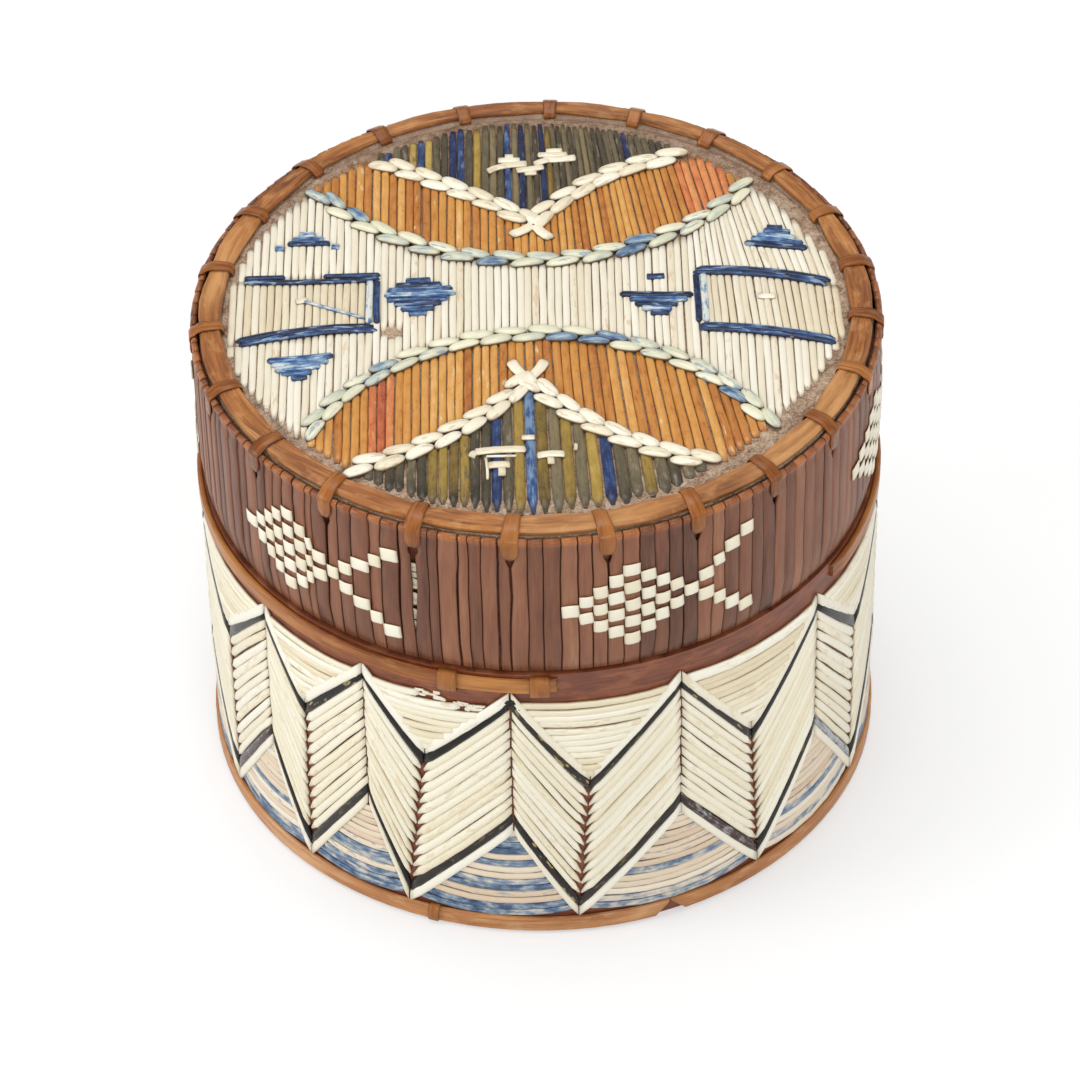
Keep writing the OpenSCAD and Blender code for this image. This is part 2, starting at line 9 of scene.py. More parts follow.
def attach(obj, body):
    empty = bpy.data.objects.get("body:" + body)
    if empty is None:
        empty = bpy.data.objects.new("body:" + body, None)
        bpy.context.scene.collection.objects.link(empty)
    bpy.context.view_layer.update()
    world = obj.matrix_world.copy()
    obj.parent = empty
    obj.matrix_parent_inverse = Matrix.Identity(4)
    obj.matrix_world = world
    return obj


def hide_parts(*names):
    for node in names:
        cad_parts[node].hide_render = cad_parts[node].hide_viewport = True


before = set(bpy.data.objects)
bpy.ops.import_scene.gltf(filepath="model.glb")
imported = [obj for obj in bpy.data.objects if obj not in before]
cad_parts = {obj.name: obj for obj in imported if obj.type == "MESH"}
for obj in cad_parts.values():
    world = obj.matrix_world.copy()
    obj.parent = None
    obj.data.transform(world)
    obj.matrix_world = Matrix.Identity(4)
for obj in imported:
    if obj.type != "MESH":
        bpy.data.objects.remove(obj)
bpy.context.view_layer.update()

# Sizes of the box, in millimetres, as in the part
MM = 0.001
SEAT = 0.03
WALL_R = 67.9
QUILL_R = WALL_R + SEAT
QUILL_H = 1.05
HOOP_T = 1.3
HOOP_R = WALL_R + HOOP_T
BASE_HOOP_Z = 0.3
BASE_HOOP_H = 3.6
BASE_HOOP_TOP = BASE_HOOP_Z + BASE_HOOP_H
RIM_HOOP_Z = 66.2
RIM_HOOP_H = 3.7
RIM_HOOP_START = 57
RIM_HOOP_END = 362
SCARF_AZIMUTH = 21
SCARF_W = 7
SCARF_TIP = 0.16
RIM_LASHINGS = (-15.6, -0.6)
RIM_LASHING_W = 3.9
BASE_LASHING_AZIMUTH = -19.4
BASE_LASHING_W = 2.2
LASHING_T = 0.6
BAND_GAP = 0.3

# Zigzag of the wall
FRONT_POINTS = (-53, -31, -5.5, 23, 52.5)
FRONT_VALLEYS = ((-43.8, -44.3, 0), (-20.4, -23.7, -0.4), (7.2, 5.3, -4.9), (36.8, 38.4, -4.3))
BACK_POINTS = 8
POINT_COUNT = len(FRONT_POINTS) + BACK_POINTS
BAND_TOP = RIM_HOOP_Z - LASHING_T - BAND_GAP
BAND_BOTTOM = BASE_HOOP_TOP + LASHING_T + BAND_GAP
UPPER_POINT_Z = BAND_TOP - 2.1
UPPER_VALLEY_Z = UPPER_POINT_Z - 18.2
LOWER_POINT_Z = UPPER_POINT_Z - 31.5
LOWER_VALLEY_Z = BAND_BOTTOM + 2.8
CHEVRON_QUILLS = 11
QUILL_STEPS = CHEVRON_QUILLS + 1
LEVEL_PITCH = 1.72
FRONT_BLUE_ROWS = ((0, 1, 5), (0, 1, 2, 4, 5), (0, 1, 4, 5, 8, 10, 11, 12), (0, 1, 5), (1, 4))

# Sizes of the lid
LID_Z = 70.8
LID_TOP_Z = 105.0
ROOT_R = 68.48
RIDGE_Z = LID_TOP_Z + 0.2
FIELD_Z = LID_TOP_Z + SEAT
FIELD_QUILL_H = QUILL_H * 0.78
LID_HOOP_IN_R = 61.95
LID_HOOP_R = 66.75
LID_HOOP_T = 1.9
LID_HOOP_TOP = FIELD_Z + LID_HOOP_T
STRIP_COUNT = 144
STRIP_ANGLE = 360 / STRIP_COUNT
LASHING_COUNT = 23
LASHING_W = 2.8
FISH_COUNT = 6
FISH_HALF = 4
TAIL_COLS = 4
TAIL_STEP = 2.45
CHECK_PITCH = 4.4
CHECK_H = 3.0
FISH_HEAD = 4.7
FISH_Z = LID_Z + (LID_TOP_Z - LID_Z) * 0.483

# Field of the lid
FIELD_R = LID_HOOP_IN_R - 2.15
UNIT = FIELD_R / 60
CREAM_PITCH = 1.5
WARM_PITCH = 1.68
UPPER_DARK_PITCH = 1.64
LOWER_DARK_PITCH = 2.04
UPPER_ARC = (1, 15.2 * UNIT, 26.7 * UNIT)
LOWER_ARC = (-1, 8 * UNIT, 32 * UNIT)
ARC_REACH = 46 * UNIT
UPPER_V = (1, (0, 27 * UNIT), (39, 200 * UNIT), (58, 47 * UNIT))
LOWER_V = (-1, (-1.8 * UNIT, -21.4 * UNIT), (57, 62 * UNIT), (57, 62 * UNIT))
STITCH_PITCH = 6.3
STITCH_LEAN = 0.1
STITCH_TWIST = 8
FIRST_STITCH = 3.2
RED_UPPER = (31.5, 38.8)
RED_LOWER = (-33.5, -28)
STROKE_W = 1.25
STROKE_PITCH = 1.45


# Small helpers
draw = random.Random(41)
LAST_SEED = 50


def give(reach):
    """Random amount to either side."""
    return draw.uniform(-reach, reach)


def at_times(value, share):
    """The value in a share of the cases, and otherwise 0."""
    return value if draw.random() < share else 0


def look(low, high, stain=0.0):
    """Tone, stain and seed of one laid piece."""
    return (draw.uniform(low, high), stain, draw.uniform(0, LAST_SEED))


def between(a, b, t):
    return a + (b - a) * t


def smooth(t):
    t = min(1, max(0, t))
    return t * t * (3 - 2 * t)


def wander(place, seed, pace):
    """Slow sideways drift of a hand-laid piece, from -1 to 1."""
    return noise.noise(Vector((place * pace, seed * 7.31, seed * 1.7)))


def round_spot(r, turn, z):
    """Place at a radius and a height in millimetres, turned from the front of the box."""
    return (r * MM * math.sin(turn), -r * MM * math.cos(turn), z * MM)


def only(piece):
    bpy.ops.object.select_all(action='DESELECT')
    piece.select_set(True)
    bpy.context.view_layer.objects.active = piece


def choose(piece, kind, test):
    """Selects the corners, edges or faces of a piece in edit mode that pass a test."""
    bpy.ops.mesh.select_mode(type=kind)
    bpy.ops.mesh.select_all(action='DESELECT')
    mesh = bmesh.from_edit_mesh(piece.data)
    parts = {'VERT': mesh.verts, 'EDGE': mesh.edges, 'FACE': mesh.faces}[kind]
    for part in parts:
        if test(part):
            part.select_set(True)
    mesh.select_flush_mode()
    bmesh.update_edit_mesh(piece.data)


# Rods, which are modelled once and then bent and laid in place
RODS = []


def model_rod(sides, lengths):
    """Rod along Y from 0 to 1, as wide as 1 and from 0 to 1 high, a little narrower below."""
    bpy.ops.object.select_all(action='DESELECT')
    lying = (math.radians(90), 0, 0)
    bpy.ops.mesh.primitive_cylinder_add(vertices=sides, radius=0.5, depth=1, rotation=lying)
    rod = bpy.context.active_object
    RODS.append(rod)
    bpy.ops.object.transform_apply(location=True, rotation=True, scale=True)
    bpy.ops.object.mode_set(mode='EDIT')
    choose(rod, 'EDGE', lambda edge: abs(edge.verts[0].co.y - edge.verts[1].co.y) > 0.5)
    bpy.ops.mesh.subdivide(number_cuts=lengths - 1)
    choose(rod, 'VERT', lambda corner: corner.co.z < -0.01)
    bpy.ops.transform.resize(value=(0.96, 1, 1), center_override=(0, 0, 0))
    bpy.ops.mesh.select_all(action='SELECT')
    bpy.ops.transform.translate(value=(0, 0.5, 0.5))
    bpy.ops.object.mode_set(mode='OBJECT')
    bpy.ops.object.shade_smooth()
    rod.data.attributes.new('grain', 'FLOAT_VECTOR', 'POINT')
    rod.data.attributes.new('marks', 'FLOAT_VECTOR', 'POINT')
    return rod


def pinch_ends(rod, first, last, depth):
    """Narrows and lowers the two ends of a rod, and gives the rod back."""
    only(rod)
    bpy.ops.object.mode_set(mode='EDIT')
    for end, share in ((0, first), (1, last)):
        choose(rod, 'VERT', lambda corner: abs(corner.co.y - end) < 0.001)
        bpy.ops.transform.resize(value=(share, 1, depth), center_override=(0, end, 0))
    bpy.ops.object.mode_set(mode='OBJECT')
    return rod


class Bundle:
    """Copies of rods that are laid one by one and then joined into one piece."""

    def __init__(self, name):
        self.name = name
        self.pieces = []

    def lay(self, rod, place, marks, grain):
        """Copies a rod with its own mesh and moves each corner by place(x, y, z)."""
        piece = bpy.data.objects.new(self.name, rod.data.copy())
        bpy.context.collection.objects.link(piece)
        spots = []
        mark_values = []
        grain_values = []
        for corner in piece.data.vertices:
            x, y, z = corner.co
            spots.extend(place(x, y, z))
            mark_values.extend(marks(x, y, z))
            grain_values.extend(grain(x, y, z))
        piece.data.vertices.foreach_set('co', spots)
        piece.data.attributes['marks'].data.foreach_set('vector', mark_values)
        piece.data.attributes['grain'].data.foreach_set('vector', grain_values)
        self.pieces.append(piece)

    def join(self, body, finish, slot, *nodes, crisp=False):
        """Makes one piece of the copies. A crisp piece keeps its edges sharp."""
        bpy.ops.object.select_all(action='DESELECT')
        for piece in self.pieces:
            piece.select_set(True)
        whole = self.pieces[0]
        bpy.context.view_layer.objects.active = whole
        if len(self.pieces) > 1:
            bpy.ops.object.join()
        whole.name = self.name
        whole.data.name = self.name
        whole.data.update()
        if crisp:
            bpy.ops.object.shade_smooth_by_angle(angle=math.radians(28))
        whole.data.materials.clear()
        whole.data.materials.append(finish)
        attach(whole, body)
        if nodes:
            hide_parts(*nodes)
        return whole


# Surfaces on which quills are laid: each takes two lengths and a lift in millimetres
def on_wall(along, up, lift):
    return round_spot(QUILL_R + lift, along / WALL_R, up)


def on_strips(along, up, lift):
    return round_spot(ROOT_R + lift, along / ROOT_R, up)


def on_lid(x, y, lift):
    return (x * MM, y * MM, (FIELD_Z + lift) * MM)


# Ends of quills and bands: lengths in millimetres that are faded, cut or shaded, and how dark the tips are
FADE_LENGTH = 7
MITRE_LENGTH = 5
QUILL_TIP = 1.8
QUILL_TIP_SHADE = 0.55
BAND_TIP = 2
BAND_TIP_SHADE = 0.5
# Along a quill: crowding of its corners towards the ends, pace of its drift, and steps of its grain
END_CROWDING = 0.09
DRIFT_PACE = 0.16
SEED_STEP = 3.7
BAND_GRAIN_W = 2.5


def arc_length(azimuth, r=WALL_R):
    return math.radians(azimuth) * r


def lay_quill(bundle, rod, surface, start, end, widths, height, look, lift=0, bow=0, drift=0, tilt=0,
              mitre=(0, 0), fade=0.0):
    """Lays a quill from start to end. look holds its tone, its stain and its seed.

    mitre cuts its ends upright, and fade darkens it towards its start.
    """
    tone, stain, seed = look
    run = Vector(end) - Vector(start)
    length = run.length
    along = run / length
    across = Vector((along.y, -along.x))
    shear = -along.y / along.x if any(mitre) else 0

    def spread(t):
        return t - END_CROWDING * math.sin(2 * math.pi * t)

    def place(x, y, z):
        t = spread(y)
        middle = Vector(start) + run * t
        middle += across * (bow * 4 * t * (1 - t) + drift * wander(t * length, seed, DRIFT_PACE))
        width = between(widths[0], widths[1], t)
        cut = mitre[0] * max(0, 1 - t * length / MITRE_LENGTH)
        cut += mitre[1] * max(0, 1 - (1 - t) * length / MITRE_LENGTH)
        spot = middle + across * (x * width) + along * (x * width * shear * cut)
        return surface(spot.x, spot.y, lift + z * height * (1 + 2 * tilt * x))

    def marks(x, y, z):
        tip = min(spread(y), 1 - spread(y)) * length
        darkened = fade * max(0, 1 - spread(y) * length / FADE_LENGTH)
        shade = QUILL_TIP_SHADE * max(0, 1 - tip / QUILL_TIP)
        # The second mark is painted shade, in the creases along the sides of the quill and at its tips.
        return (tone - darkened, max(shade, smooth((0.8 - z) / 0.4)), stain)

    def grain(x, y, z):
        return (x * widths[0], spread(y) * length, seed * SEED_STEP)

    bundle.lay(rod, place, marks, grain)


def lay_band(bundle, rod, path, edges, thickness, look, tilt=0, crease_shade=1.0):
    """Lays a flat band along a path of radius and height, between the azimuths that edges(t, z) gives."""
    tone, stain, seed = look
    last = len(path) - 1
    points = [Vector(point) for point in path]
    lengths = [0]
    for k in range(last):
        lengths.append(lengths[-1] + (points[k + 1] - points[k]).length)

    def outward(k):
        ahead = points[min(last, k + 1)] - points[max(0, k - 1)]
        return Vector((ahead.y, -ahead.x)).normalized()

    outs = [outward(k) for k in range(last + 1)]

    def place(x, y, z):
        k = round(y * last)
        left, right = edges(lengths[k] / lengths[-1], points[k].y)
        turn = math.radians(between(left, right, x + 0.5))
        spot = points[k] + outs[k] * ((z - 1) * thickness + tilt * (x - 0.5))
        return round_spot(spot.x, turn, spot.y)

    def marks(x, y, z):
        k = round(y * last)
        tip = min(lengths[k], lengths[-1] - lengths[k])
        shade = BAND_TIP_SHADE * max(0, 1 - tip / BAND_TIP)
        # Painted shade in the creases along the edges of the band, as well as at its ends.
        return (tone, max(shade, crease_shade * smooth((0.95 - z) / 0.3)), stain)

    def grain(x, y, z):
        k = round(y * last)
        return (x * BAND_GRAIN_W, lengths[k], seed * SEED_STEP)

    bundle.lay(rod, place, marks, grain)


# Finishes: procedural materials that read the grain and marks of each laid piece
class Nodes:
    """A tree of nodes that is put together one by one."""

    def __init__(self, tree):
        self.tree = tree

    def add(self, kind, inputs=None, **settings):
        node = self.tree.nodes.new(kind)
        for key, value in settings.items():
            setattr(node, key, value)
        for key, value in (inputs or {}).items():
            self.feed(node.inputs[key], value)
        return node

    def feed(self, socket, value):
        """Links a socket to another node's output, or sets its number."""
        if isinstance(value, bpy.types.NodeSocket):
            self.tree.links.new(value, socket)
        else:
            socket.default_value = value

    def math(self, operation, a, b=0.0):
        return self.add('ShaderNodeMath', {0: a, 1: b}, operation=operation).outputs[0]

    def plus(self, a, b):
        return self.math('ADD', a, b)

    def times(self, a, b):
        return self.math('MULTIPLY', a, b)

    def sway(self, pattern, amount):
        """Turns a pattern from 0 to 1 into a change to either side."""
        return self.times(self.math('SUBTRACT', pattern, 0.5), amount)

    def blend(self, a, b, share):
        """Share of the first pattern, and the rest of the second."""
        return self.plus(self.times(a, share), self.times(b, 1 - share))

    def limit(self, value, low, high, first=0.0, last=1.0):
        """Spreads the range from low to high over first to last."""
        inputs = {'Value': value, 'From Min': low, 'From Max': high, 'To Min': first, 'To Max': last}
        return self.add('ShaderNodeMapRange', inputs, clamp=True).outputs['Result']


class Finish(Nodes):
    """A material with its shader."""

    def __init__(self, name, roughness, specular=0.5):
        self.material = bpy.data.materials.new(name)
        self.material.use_nodes = True
        super().__init__(self.material.node_tree)
        self.shader = self.tree.nodes['Principled BSDF']
        self.feed(self.shader.inputs['Roughness'], roughness)
        self.feed(self.shader.inputs['Specular IOR Level'], specular)

    def attribute(self, name):
        return self.add('ShaderNodeAttribute', attribute_name=name).outputs['Vector']

    def split(self, vector):
        return self.add('ShaderNodeSeparateXYZ', {0: vector}).outputs

    def stretch(self, vector, scale):
        return self.add('ShaderNodeVectorMath', {0: vector, 1: scale}, operation='MULTIPLY').outputs[0]

    def place(self, scale=(1, 1, 1)):
        """Object coordinates in millimetres, stretched."""
        vector = self.add('ShaderNodeTexCoord').outputs['Object']
        return self.stretch(vector, [share / MM for share in scale])

    def round_place(self, scale):
        """Length round the axis and height in millimetres, stretched."""
        x, y, z = self.split(self.place())
        turn = self.math('ARCTAN2', x, self.times(y, -1.0))
        node = self.add('ShaderNodeCombineXYZ', {'X': self.times(turn, WALL_R), 'Y': z})
        return self.stretch(node.outputs[0], scale)

    def cloud(self, vector, detail=3.0, roughness=0.55, distortion=0.0):
        inputs = {'Vector': vector, 'Scale': 1.0, 'Detail': detail, 'Roughness': roughness,
                  'Distortion': distortion}
        return self.add('ShaderNodeTexNoise', inputs).outputs['Fac']

    def grain(self, scale, detail=3.0, roughness=0.6, distortion=0.0):
        """Cloud stretched across and along a laid piece."""
        return self.cloud(self.stretch(self.attribute('grain'), (*scale, 1)), detail, roughness, distortion)

    def ramp(self, value, stops):
        node = self.add('ShaderNodeValToRGB', {'Fac': value})
        bar = node.color_ramp.elements
        while len(bar) < len(stops):
            bar.new(0.5)
        for element, (position, colour) in zip(bar, stops):
            element.position = position
            element.color = (*colour, 1)
        return node.outputs['Color']

    def tint(self, colour, share, over, amount=1.0):
        """Lays a second colour or ramp over a first one."""
        node = self.add('ShaderNodeMix', {'Factor': self.times(share, amount)}, data_type='RGBA')
        under_socket, over_socket = [socket for socket in node.inputs if socket.type == 'RGBA']
        self.feed(under_socket, colour)
        self.feed(over_socket, over if isinstance(over, bpy.types.NodeSocket) else (*over, 1))
        return [socket for socket in node.outputs if socket.type == 'RGBA'][0]

    def paint(self, colour):
        self.feed(self.shader.inputs['Base Color'], colour)

    def gloss(self, value, low, high):
        """Roughness that follows a pattern from low to high."""
        self.feed(self.shader.inputs['Roughness'], self.limit(value, 0.25, 0.75, low, high))

    def relief(self, height, strength, depth):
        node = self.add('ShaderNodeBump', {'Strength': strength, 'Distance': depth * MM, 'Height': height})
        self.feed(self.shader.inputs['Normal'], node.outputs['Normal'])


def quill_finish(name, dyes, painted_shade_colour, stain_colour, painted_shade_share=0.6, blotch=0.35, streak=0.3,
                 roughness=(0.3, 0.5), stain_level=0.56, specular=0.5):
    """Flattened quill: dyed unevenly, streaked along its length, with painted shade in its side creases and
    at its ends in the bark.
    """
    finish = Finish(name, roughness[0], specular)
    tone, tip, stain = finish.split(finish.attribute('marks'))
    streaks = finish.grain((2.6, 0.2))
    blotches = finish.grain((0.7, 0.32))
    specks = finish.grain((1.3, 0.3), 2.0, 0.5)
    level = finish.plus(finish.plus(tone, finish.sway(blotches, blotch)), finish.sway(streaks, streak))
    colour = finish.ramp(level, dyes)
    # Painted shade: the second mark darkens the quill at its ends and in the creases along its sides.
    colour = finish.tint(colour, finish.times(tip, tip), painted_shade_colour, painted_shade_share)
    flaw = finish.times(finish.limit(specks, stain_level, stain_level + 0.07), stain)
    finish.paint(finish.tint(colour, flaw, stain_colour))
    finish.gloss(blotches, *roughness)
    finish.relief(streaks, 0.3, 0.1)
    return finish.material


def splint_finish(name, dyes, worn_colour, roughness=(0.35, 0.55)):
    """Split wood: fibres along the splint, cracks, rubbed places, paler where stain is set."""
    finish = Finish(name, roughness[0], 0.3)
    tone, tip, stain = finish.split(finish.attribute('marks'))
    darkest = dyes[0][1]
    fibres = finish.grain((1.7, 0.09), 5.0, 0.6, 0.4)
    bands = finish.grain((0.5, 0.045), 3.0, 0.5)
    fine = finish.grain((5.0, 0.5), 2.0, 0.5)
    cracks = finish.grain((1.5, 0.05), 4.0, 0.65, 1.0)
    rubs = finish.grain((0.45, 0.16), 4.0)
    level = finish.plus(finish.blend(fibres, bands, 0.55), finish.sway(tone, 0.5))
    colour = finish.ramp(level, dyes)
    colour = finish.tint(colour, finish.limit(fine, 0.6, 0.72), darkest, 0.35)
    colour = finish.tint(colour, finish.limit(cracks, 0.585, 0.63), darkest, 0.7)
    colour = finish.tint(colour, finish.limit(rubs, 0.52, 0.66), worn_colour, 0.4)
    colour = finish.tint(colour, finish.times(stain, finish.limit(bands, 0.25, 0.6)), worn_colour)
    # Painted shade: the second mark darkens a splint towards its ends, and a lashing also in the creases
    # along its edges.
    finish.paint(finish.tint(colour, tip, darkest, 0.35))
    finish.gloss(fibres, *roughness)
    finish.relief(finish.plus(fibres, finish.times(fine, 0.4)), 0.45, 0.25)
    return finish.material


def root_finish(name):
    """Split root: chocolate-brown faces with fine fibres and painted shade in the creases, and a rubbed
    glossy ridge along the top with a painted highlight.
    """
    finish = Finish(name, 0.5, 0.4)
    tone, tip, stain = finish.split(finish.attribute('marks'))
    fibres = finish.grain((3.2, 0.10), 5.0, 0.62)
    clouds = finish.grain((0.55, 0.07), 3.0, 0.55)
    level = finish.plus(finish.plus(tone, finish.sway(clouds, 0.8)), finish.sway(fibres, 0.7))
    face = finish.ramp(level, ((0.0, (0.068, 0.025, 0.013)), (0.3, (0.155, 0.056, 0.027)),
                               (0.6, (0.230, 0.087, 0.042)), (0.85, (0.295, 0.126, 0.064)),
                               (1.0, (0.36, 0.175, 0.10))))
    ridge = finish.ramp(level, ((0.1, (0.17, 0.050, 0.014)), (0.5, (0.32, 0.100, 0.026)),
                                (0.9, (0.46, 0.165, 0.044))))
    # The ridge is painted lighter towards its top: rubbed wear and a painted highlight.
    height = finish.split(finish.place())['Z']
    rubbed_and_highlit = finish.limit(height, RIDGE_Z - 1.7, RIDGE_Z - 0.7)
    # The second mark lays painted shade in the creases between the strips and at their ends.
    finish.paint(finish.tint(finish.tint(face, rubbed_and_highlit, ridge), tip, (0.022, 0.010, 0.006), 0.85))
    finish.gloss(finish.math('SUBTRACT', fibres, finish.times(rubbed_and_highlit, 0.4)), 0.3, 0.58)
    finish.relief(fibres, 0.5, 0.2)
    return finish.material


def bark_finish(name, dyes, patch_colour, lenticels, roughness):
    """Outer bark: the grain runs round the box, with short level pores and rubbed patches."""
    finish = Finish(name, roughness[0])
    fibres = finish.cloud(finish.round_place((0.08, 1.3, 1)), 5.0, 0.6)
    patches = finish.cloud(finish.round_place((0.16, 0.3, 1)), 4.0, 0.6)
    pores = finish.cloud(finish.round_place((0.35, 3.2, 1)), 2.0, 0.5)
    colour = finish.ramp(finish.blend(fibres, patches, 0.6), dyes)
    colour = finish.tint(colour, finish.limit(patches, 0.52, 0.68), patch_colour, 0.55)
    finish.paint(finish.tint(colour, finish.limit(pores, 0.62, 0.7), dyes[0][1], lenticels))
    finish.gloss(patches, *roughness)
    finish.relief(finish.plus(fibres, pores), 0.4, 0.3)
    return finish.material


def fuzzy_bark_finish(name):
    """Rubbed inner bark of the lid: pinkish and grey-brown, felted, and browner towards the back."""
    finish = Finish(name, 0.9, 0.2)
    felt = finish.cloud(finish.place((2.2, 2.2, 2.2)), 6.0, 0.7)
    patches = finish.cloud(finish.place((0.35, 0.35, 0.35)), 4.0, 0.6)
    fine = finish.cloud(finish.place((6, 6, 6)), 3.0, 0.6)
    colour = finish.ramp(finish.blend(felt, patches, 0.6),
                         ((0.36, (0.16, 0.090, 0.055)), (0.46, (0.38, 0.250, 0.165)),
                          (0.54, (0.57, 0.415, 0.295)), (0.64, (0.71, 0.57, 0.44))))
    behind = finish.limit(finish.split(finish.place())['Y'], 15, 60)
    finish.paint(finish.tint(colour, behind, (0.20, 0.115, 0.075), 0.55))
    finish.relief(finish.plus(felt, finish.times(fine, 0.5)), 0.8, 0.5)
    return finish.material


cream_wall = quill_finish(
    'cream_wall_quill',
    ((0.0, (0.66, 0.54, 0.34)), (0.3, (0.79, 0.70, 0.50)), (0.6, (0.85, 0.785, 0.605)),
     (1.0, (0.90, 0.865, 0.73))),
    (0.26, 0.16, 0.08), (0.66, 0.50, 0.27),
    painted_shade_share=0.7, blotch=0.22, streak=0.16, roughness=(0.26, 0.4))
white_wall = quill_finish(
    'white_wall_quill',
    ((0.0, (0.68, 0.58, 0.39)), (0.4, (0.83, 0.765, 0.60)), (1.0, (0.90, 0.87, 0.755))),
    (0.26, 0.16, 0.08), (0.64, 0.50, 0.28),
    painted_shade_share=0.7, blotch=0.2, streak=0.16, roughness=(0.26, 0.4))
dark_wall = quill_finish(
    'dark_wall_quill',
    ((0.0, (0.007, 0.006, 0.006)), (0.4, (0.018, 0.016, 0.015)), (0.7, (0.038, 0.033, 0.029)),
     (0.88, (0.070, 0.040, 0.038)), (1.0, (0.40, 0.44, 0.46))),
    (0.020, 0.014, 0.010), (0.42, 0.31, 0.13),
    painted_shade_share=0.4, blotch=0.5, streak=0.4, roughness=(0.16, 0.32), stain_level=0.60, specular=0.18)
fan_cream = quill_finish(
    'fan_cream_quill',
    ((0.0, (0.48, 0.33, 0.21)), (0.35, (0.66, 0.51, 0.36)), (0.7, (0.76, 0.635, 0.475)),
     (1.0, (0.83, 0.75, 0.61))),
    (0.13, 0.08, 0.05), (0.26, 0.31, 0.39),
    painted_shade_share=0.8, blotch=0.3, streak=0.25, roughness=(0.3, 0.45), stain_level=0.58)
fan_blue = quill_finish(
    'fan_blue_quill',
    ((0.0, (0.020, 0.042, 0.100)), (0.26, (0.060, 0.118, 0.215)), (0.46, (0.185, 0.255, 0.345)),
     (0.64, (0.42, 0.43, 0.42)), (0.9, (0.70, 0.62, 0.51))),
    (0.05, 0.04, 0.035), (0.66, 0.60, 0.49),
    painted_shade_share=0.85, blotch=1.7, streak=0.7, roughness=(0.3, 0.45), stain_level=0.58)
cream_lid = quill_finish(
    'cream_lid_quill',
    ((0.0, (0.55, 0.43, 0.265)), (0.3, (0.67, 0.575, 0.405)), (0.6, (0.735, 0.67, 0.525)),
     (1.0, (0.80, 0.76, 0.65))),
    (0.20, 0.12, 0.055), (0.60, 0.42, 0.22),
    painted_shade_share=0.85, blotch=0.28, streak=0.24, roughness=(0.3, 0.46))
orange_lid = quill_finish(
    'orange_lid_quill',
    ((0.0, (0.23, 0.066, 0.016)), (0.25, (0.40, 0.138, 0.026)), (0.5, (0.525, 0.225, 0.045)),
     (0.78, (0.61, 0.305, 0.075)), (1.0, (0.70, 0.41, 0.15))),
    (0.13, 0.040, 0.014), (0.68, 0.52, 0.29),
    painted_shade_share=0.85, blotch=0.6, streak=0.6, roughness=(0.22, 0.4), stain_level=0.63)
red_lid = quill_finish(
    'red_lid_quill',
    ((0.0, (0.26, 0.050, 0.020)), (0.35, (0.47, 0.112, 0.040)), (0.65, (0.60, 0.205, 0.066)),
     (1.0, (0.68, 0.32, 0.10))),
    (0.15, 0.036, 0.014), (0.62, 0.36, 0.14),
    painted_shade_share=0.8, blotch=0.9, streak=0.7, roughness=(0.22, 0.4))
olive_lid = quill_finish(
    'olive_lid_quill',
    ((0.0, (0.030, 0.025, 0.018)), (0.4, (0.082, 0.067, 0.041)), (0.7, (0.145, 0.118, 0.066)),
     (1.0, (0.23, 0.17, 0.085))),
    (0.125, 0.095, 0.068), (0.24, 0.20, 0.15),
    painted_shade_share=0.8, blotch=0.6, streak=0.6, roughness=(0.2, 0.4), stain_level=0.6, specular=0.3)
ochre_lid = quill_finish(
    'ochre_lid_quill',
    ((0.0, (0.045, 0.034, 0.016)), (0.35, (0.20, 0.130, 0.030)), (0.7, (0.36, 0.235, 0.050)),
     (1.0, (0.50, 0.36, 0.105))),
    (0.105, 0.082, 0.060), (0.09, 0.080, 0.055),
    painted_shade_share=0.8, blotch=0.6, streak=0.5, roughness=(0.2, 0.4), stain_level=0.56, specular=0.3)
navy_lid = quill_finish(
    'navy_lid_quill',
    ((0.0, (0.012, 0.017, 0.045)), (0.45, (0.020, 0.036, 0.105)), (0.75, (0.045, 0.085, 0.205)),
     (1.0, (0.16, 0.25, 0.38))),
    (0.085, 0.072, 0.060), (0.16, 0.20, 0.27),
    painted_shade_share=0.7, blotch=1.3, streak=1.0, roughness=(0.2, 0.4), stain_level=0.6, specular=0.3)
motif_blue = quill_finish(
    'motif_blue_quill',
    ((0.0, (0.010, 0.015, 0.036)), (0.34, (0.020, 0.044, 0.122)), (0.58, (0.050, 0.122, 0.275)),
     (0.82, (0.20, 0.325, 0.465)), (1.0, (0.62, 0.63, 0.58))),
    (0.020, 0.022, 0.034), (0.34, 0.43, 0.52),
    painted_shade_share=0.7, blotch=1.6, streak=1.2, roughness=(0.2, 0.38), stain_level=0.58, specular=0.3)
braid_pale = quill_finish(
    'pale_braid_quill',
    ((0.0, (0.030, 0.072, 0.165)), (0.2, (0.15, 0.24, 0.345)), (0.4, (0.43, 0.475, 0.41)),
     (0.65, (0.62, 0.605, 0.435)), (1.0, (0.76, 0.72, 0.54))),
    (0.10, 0.065, 0.035), (0.14, 0.23, 0.35),
    painted_shade_share=0.95, blotch=0.9, streak=0.9, roughness=(0.28, 0.44), stain_level=0.54)
braid_white = quill_finish(
    'white_braid_quill',
    ((0.0, (0.54, 0.42, 0.26)), (0.4, (0.74, 0.655, 0.475)), (1.0, (0.85, 0.80, 0.655))),
    (0.10, 0.055, 0.025), (0.46, 0.32, 0.17),
    painted_shade_share=0.95, blotch=0.45, streak=0.6, roughness=(0.28, 0.44))
check_white = quill_finish(
    'white_check_quill',
    ((0.0, (0.70, 0.61, 0.42)), (0.4, (0.83, 0.765, 0.58)), (1.0, (0.90, 0.865, 0.73))),
    (0.42, 0.30, 0.17), (0.60, 0.46, 0.28),
    painted_shade_share=0.6, blotch=0.2, streak=0.2, roughness=(0.3, 0.44))
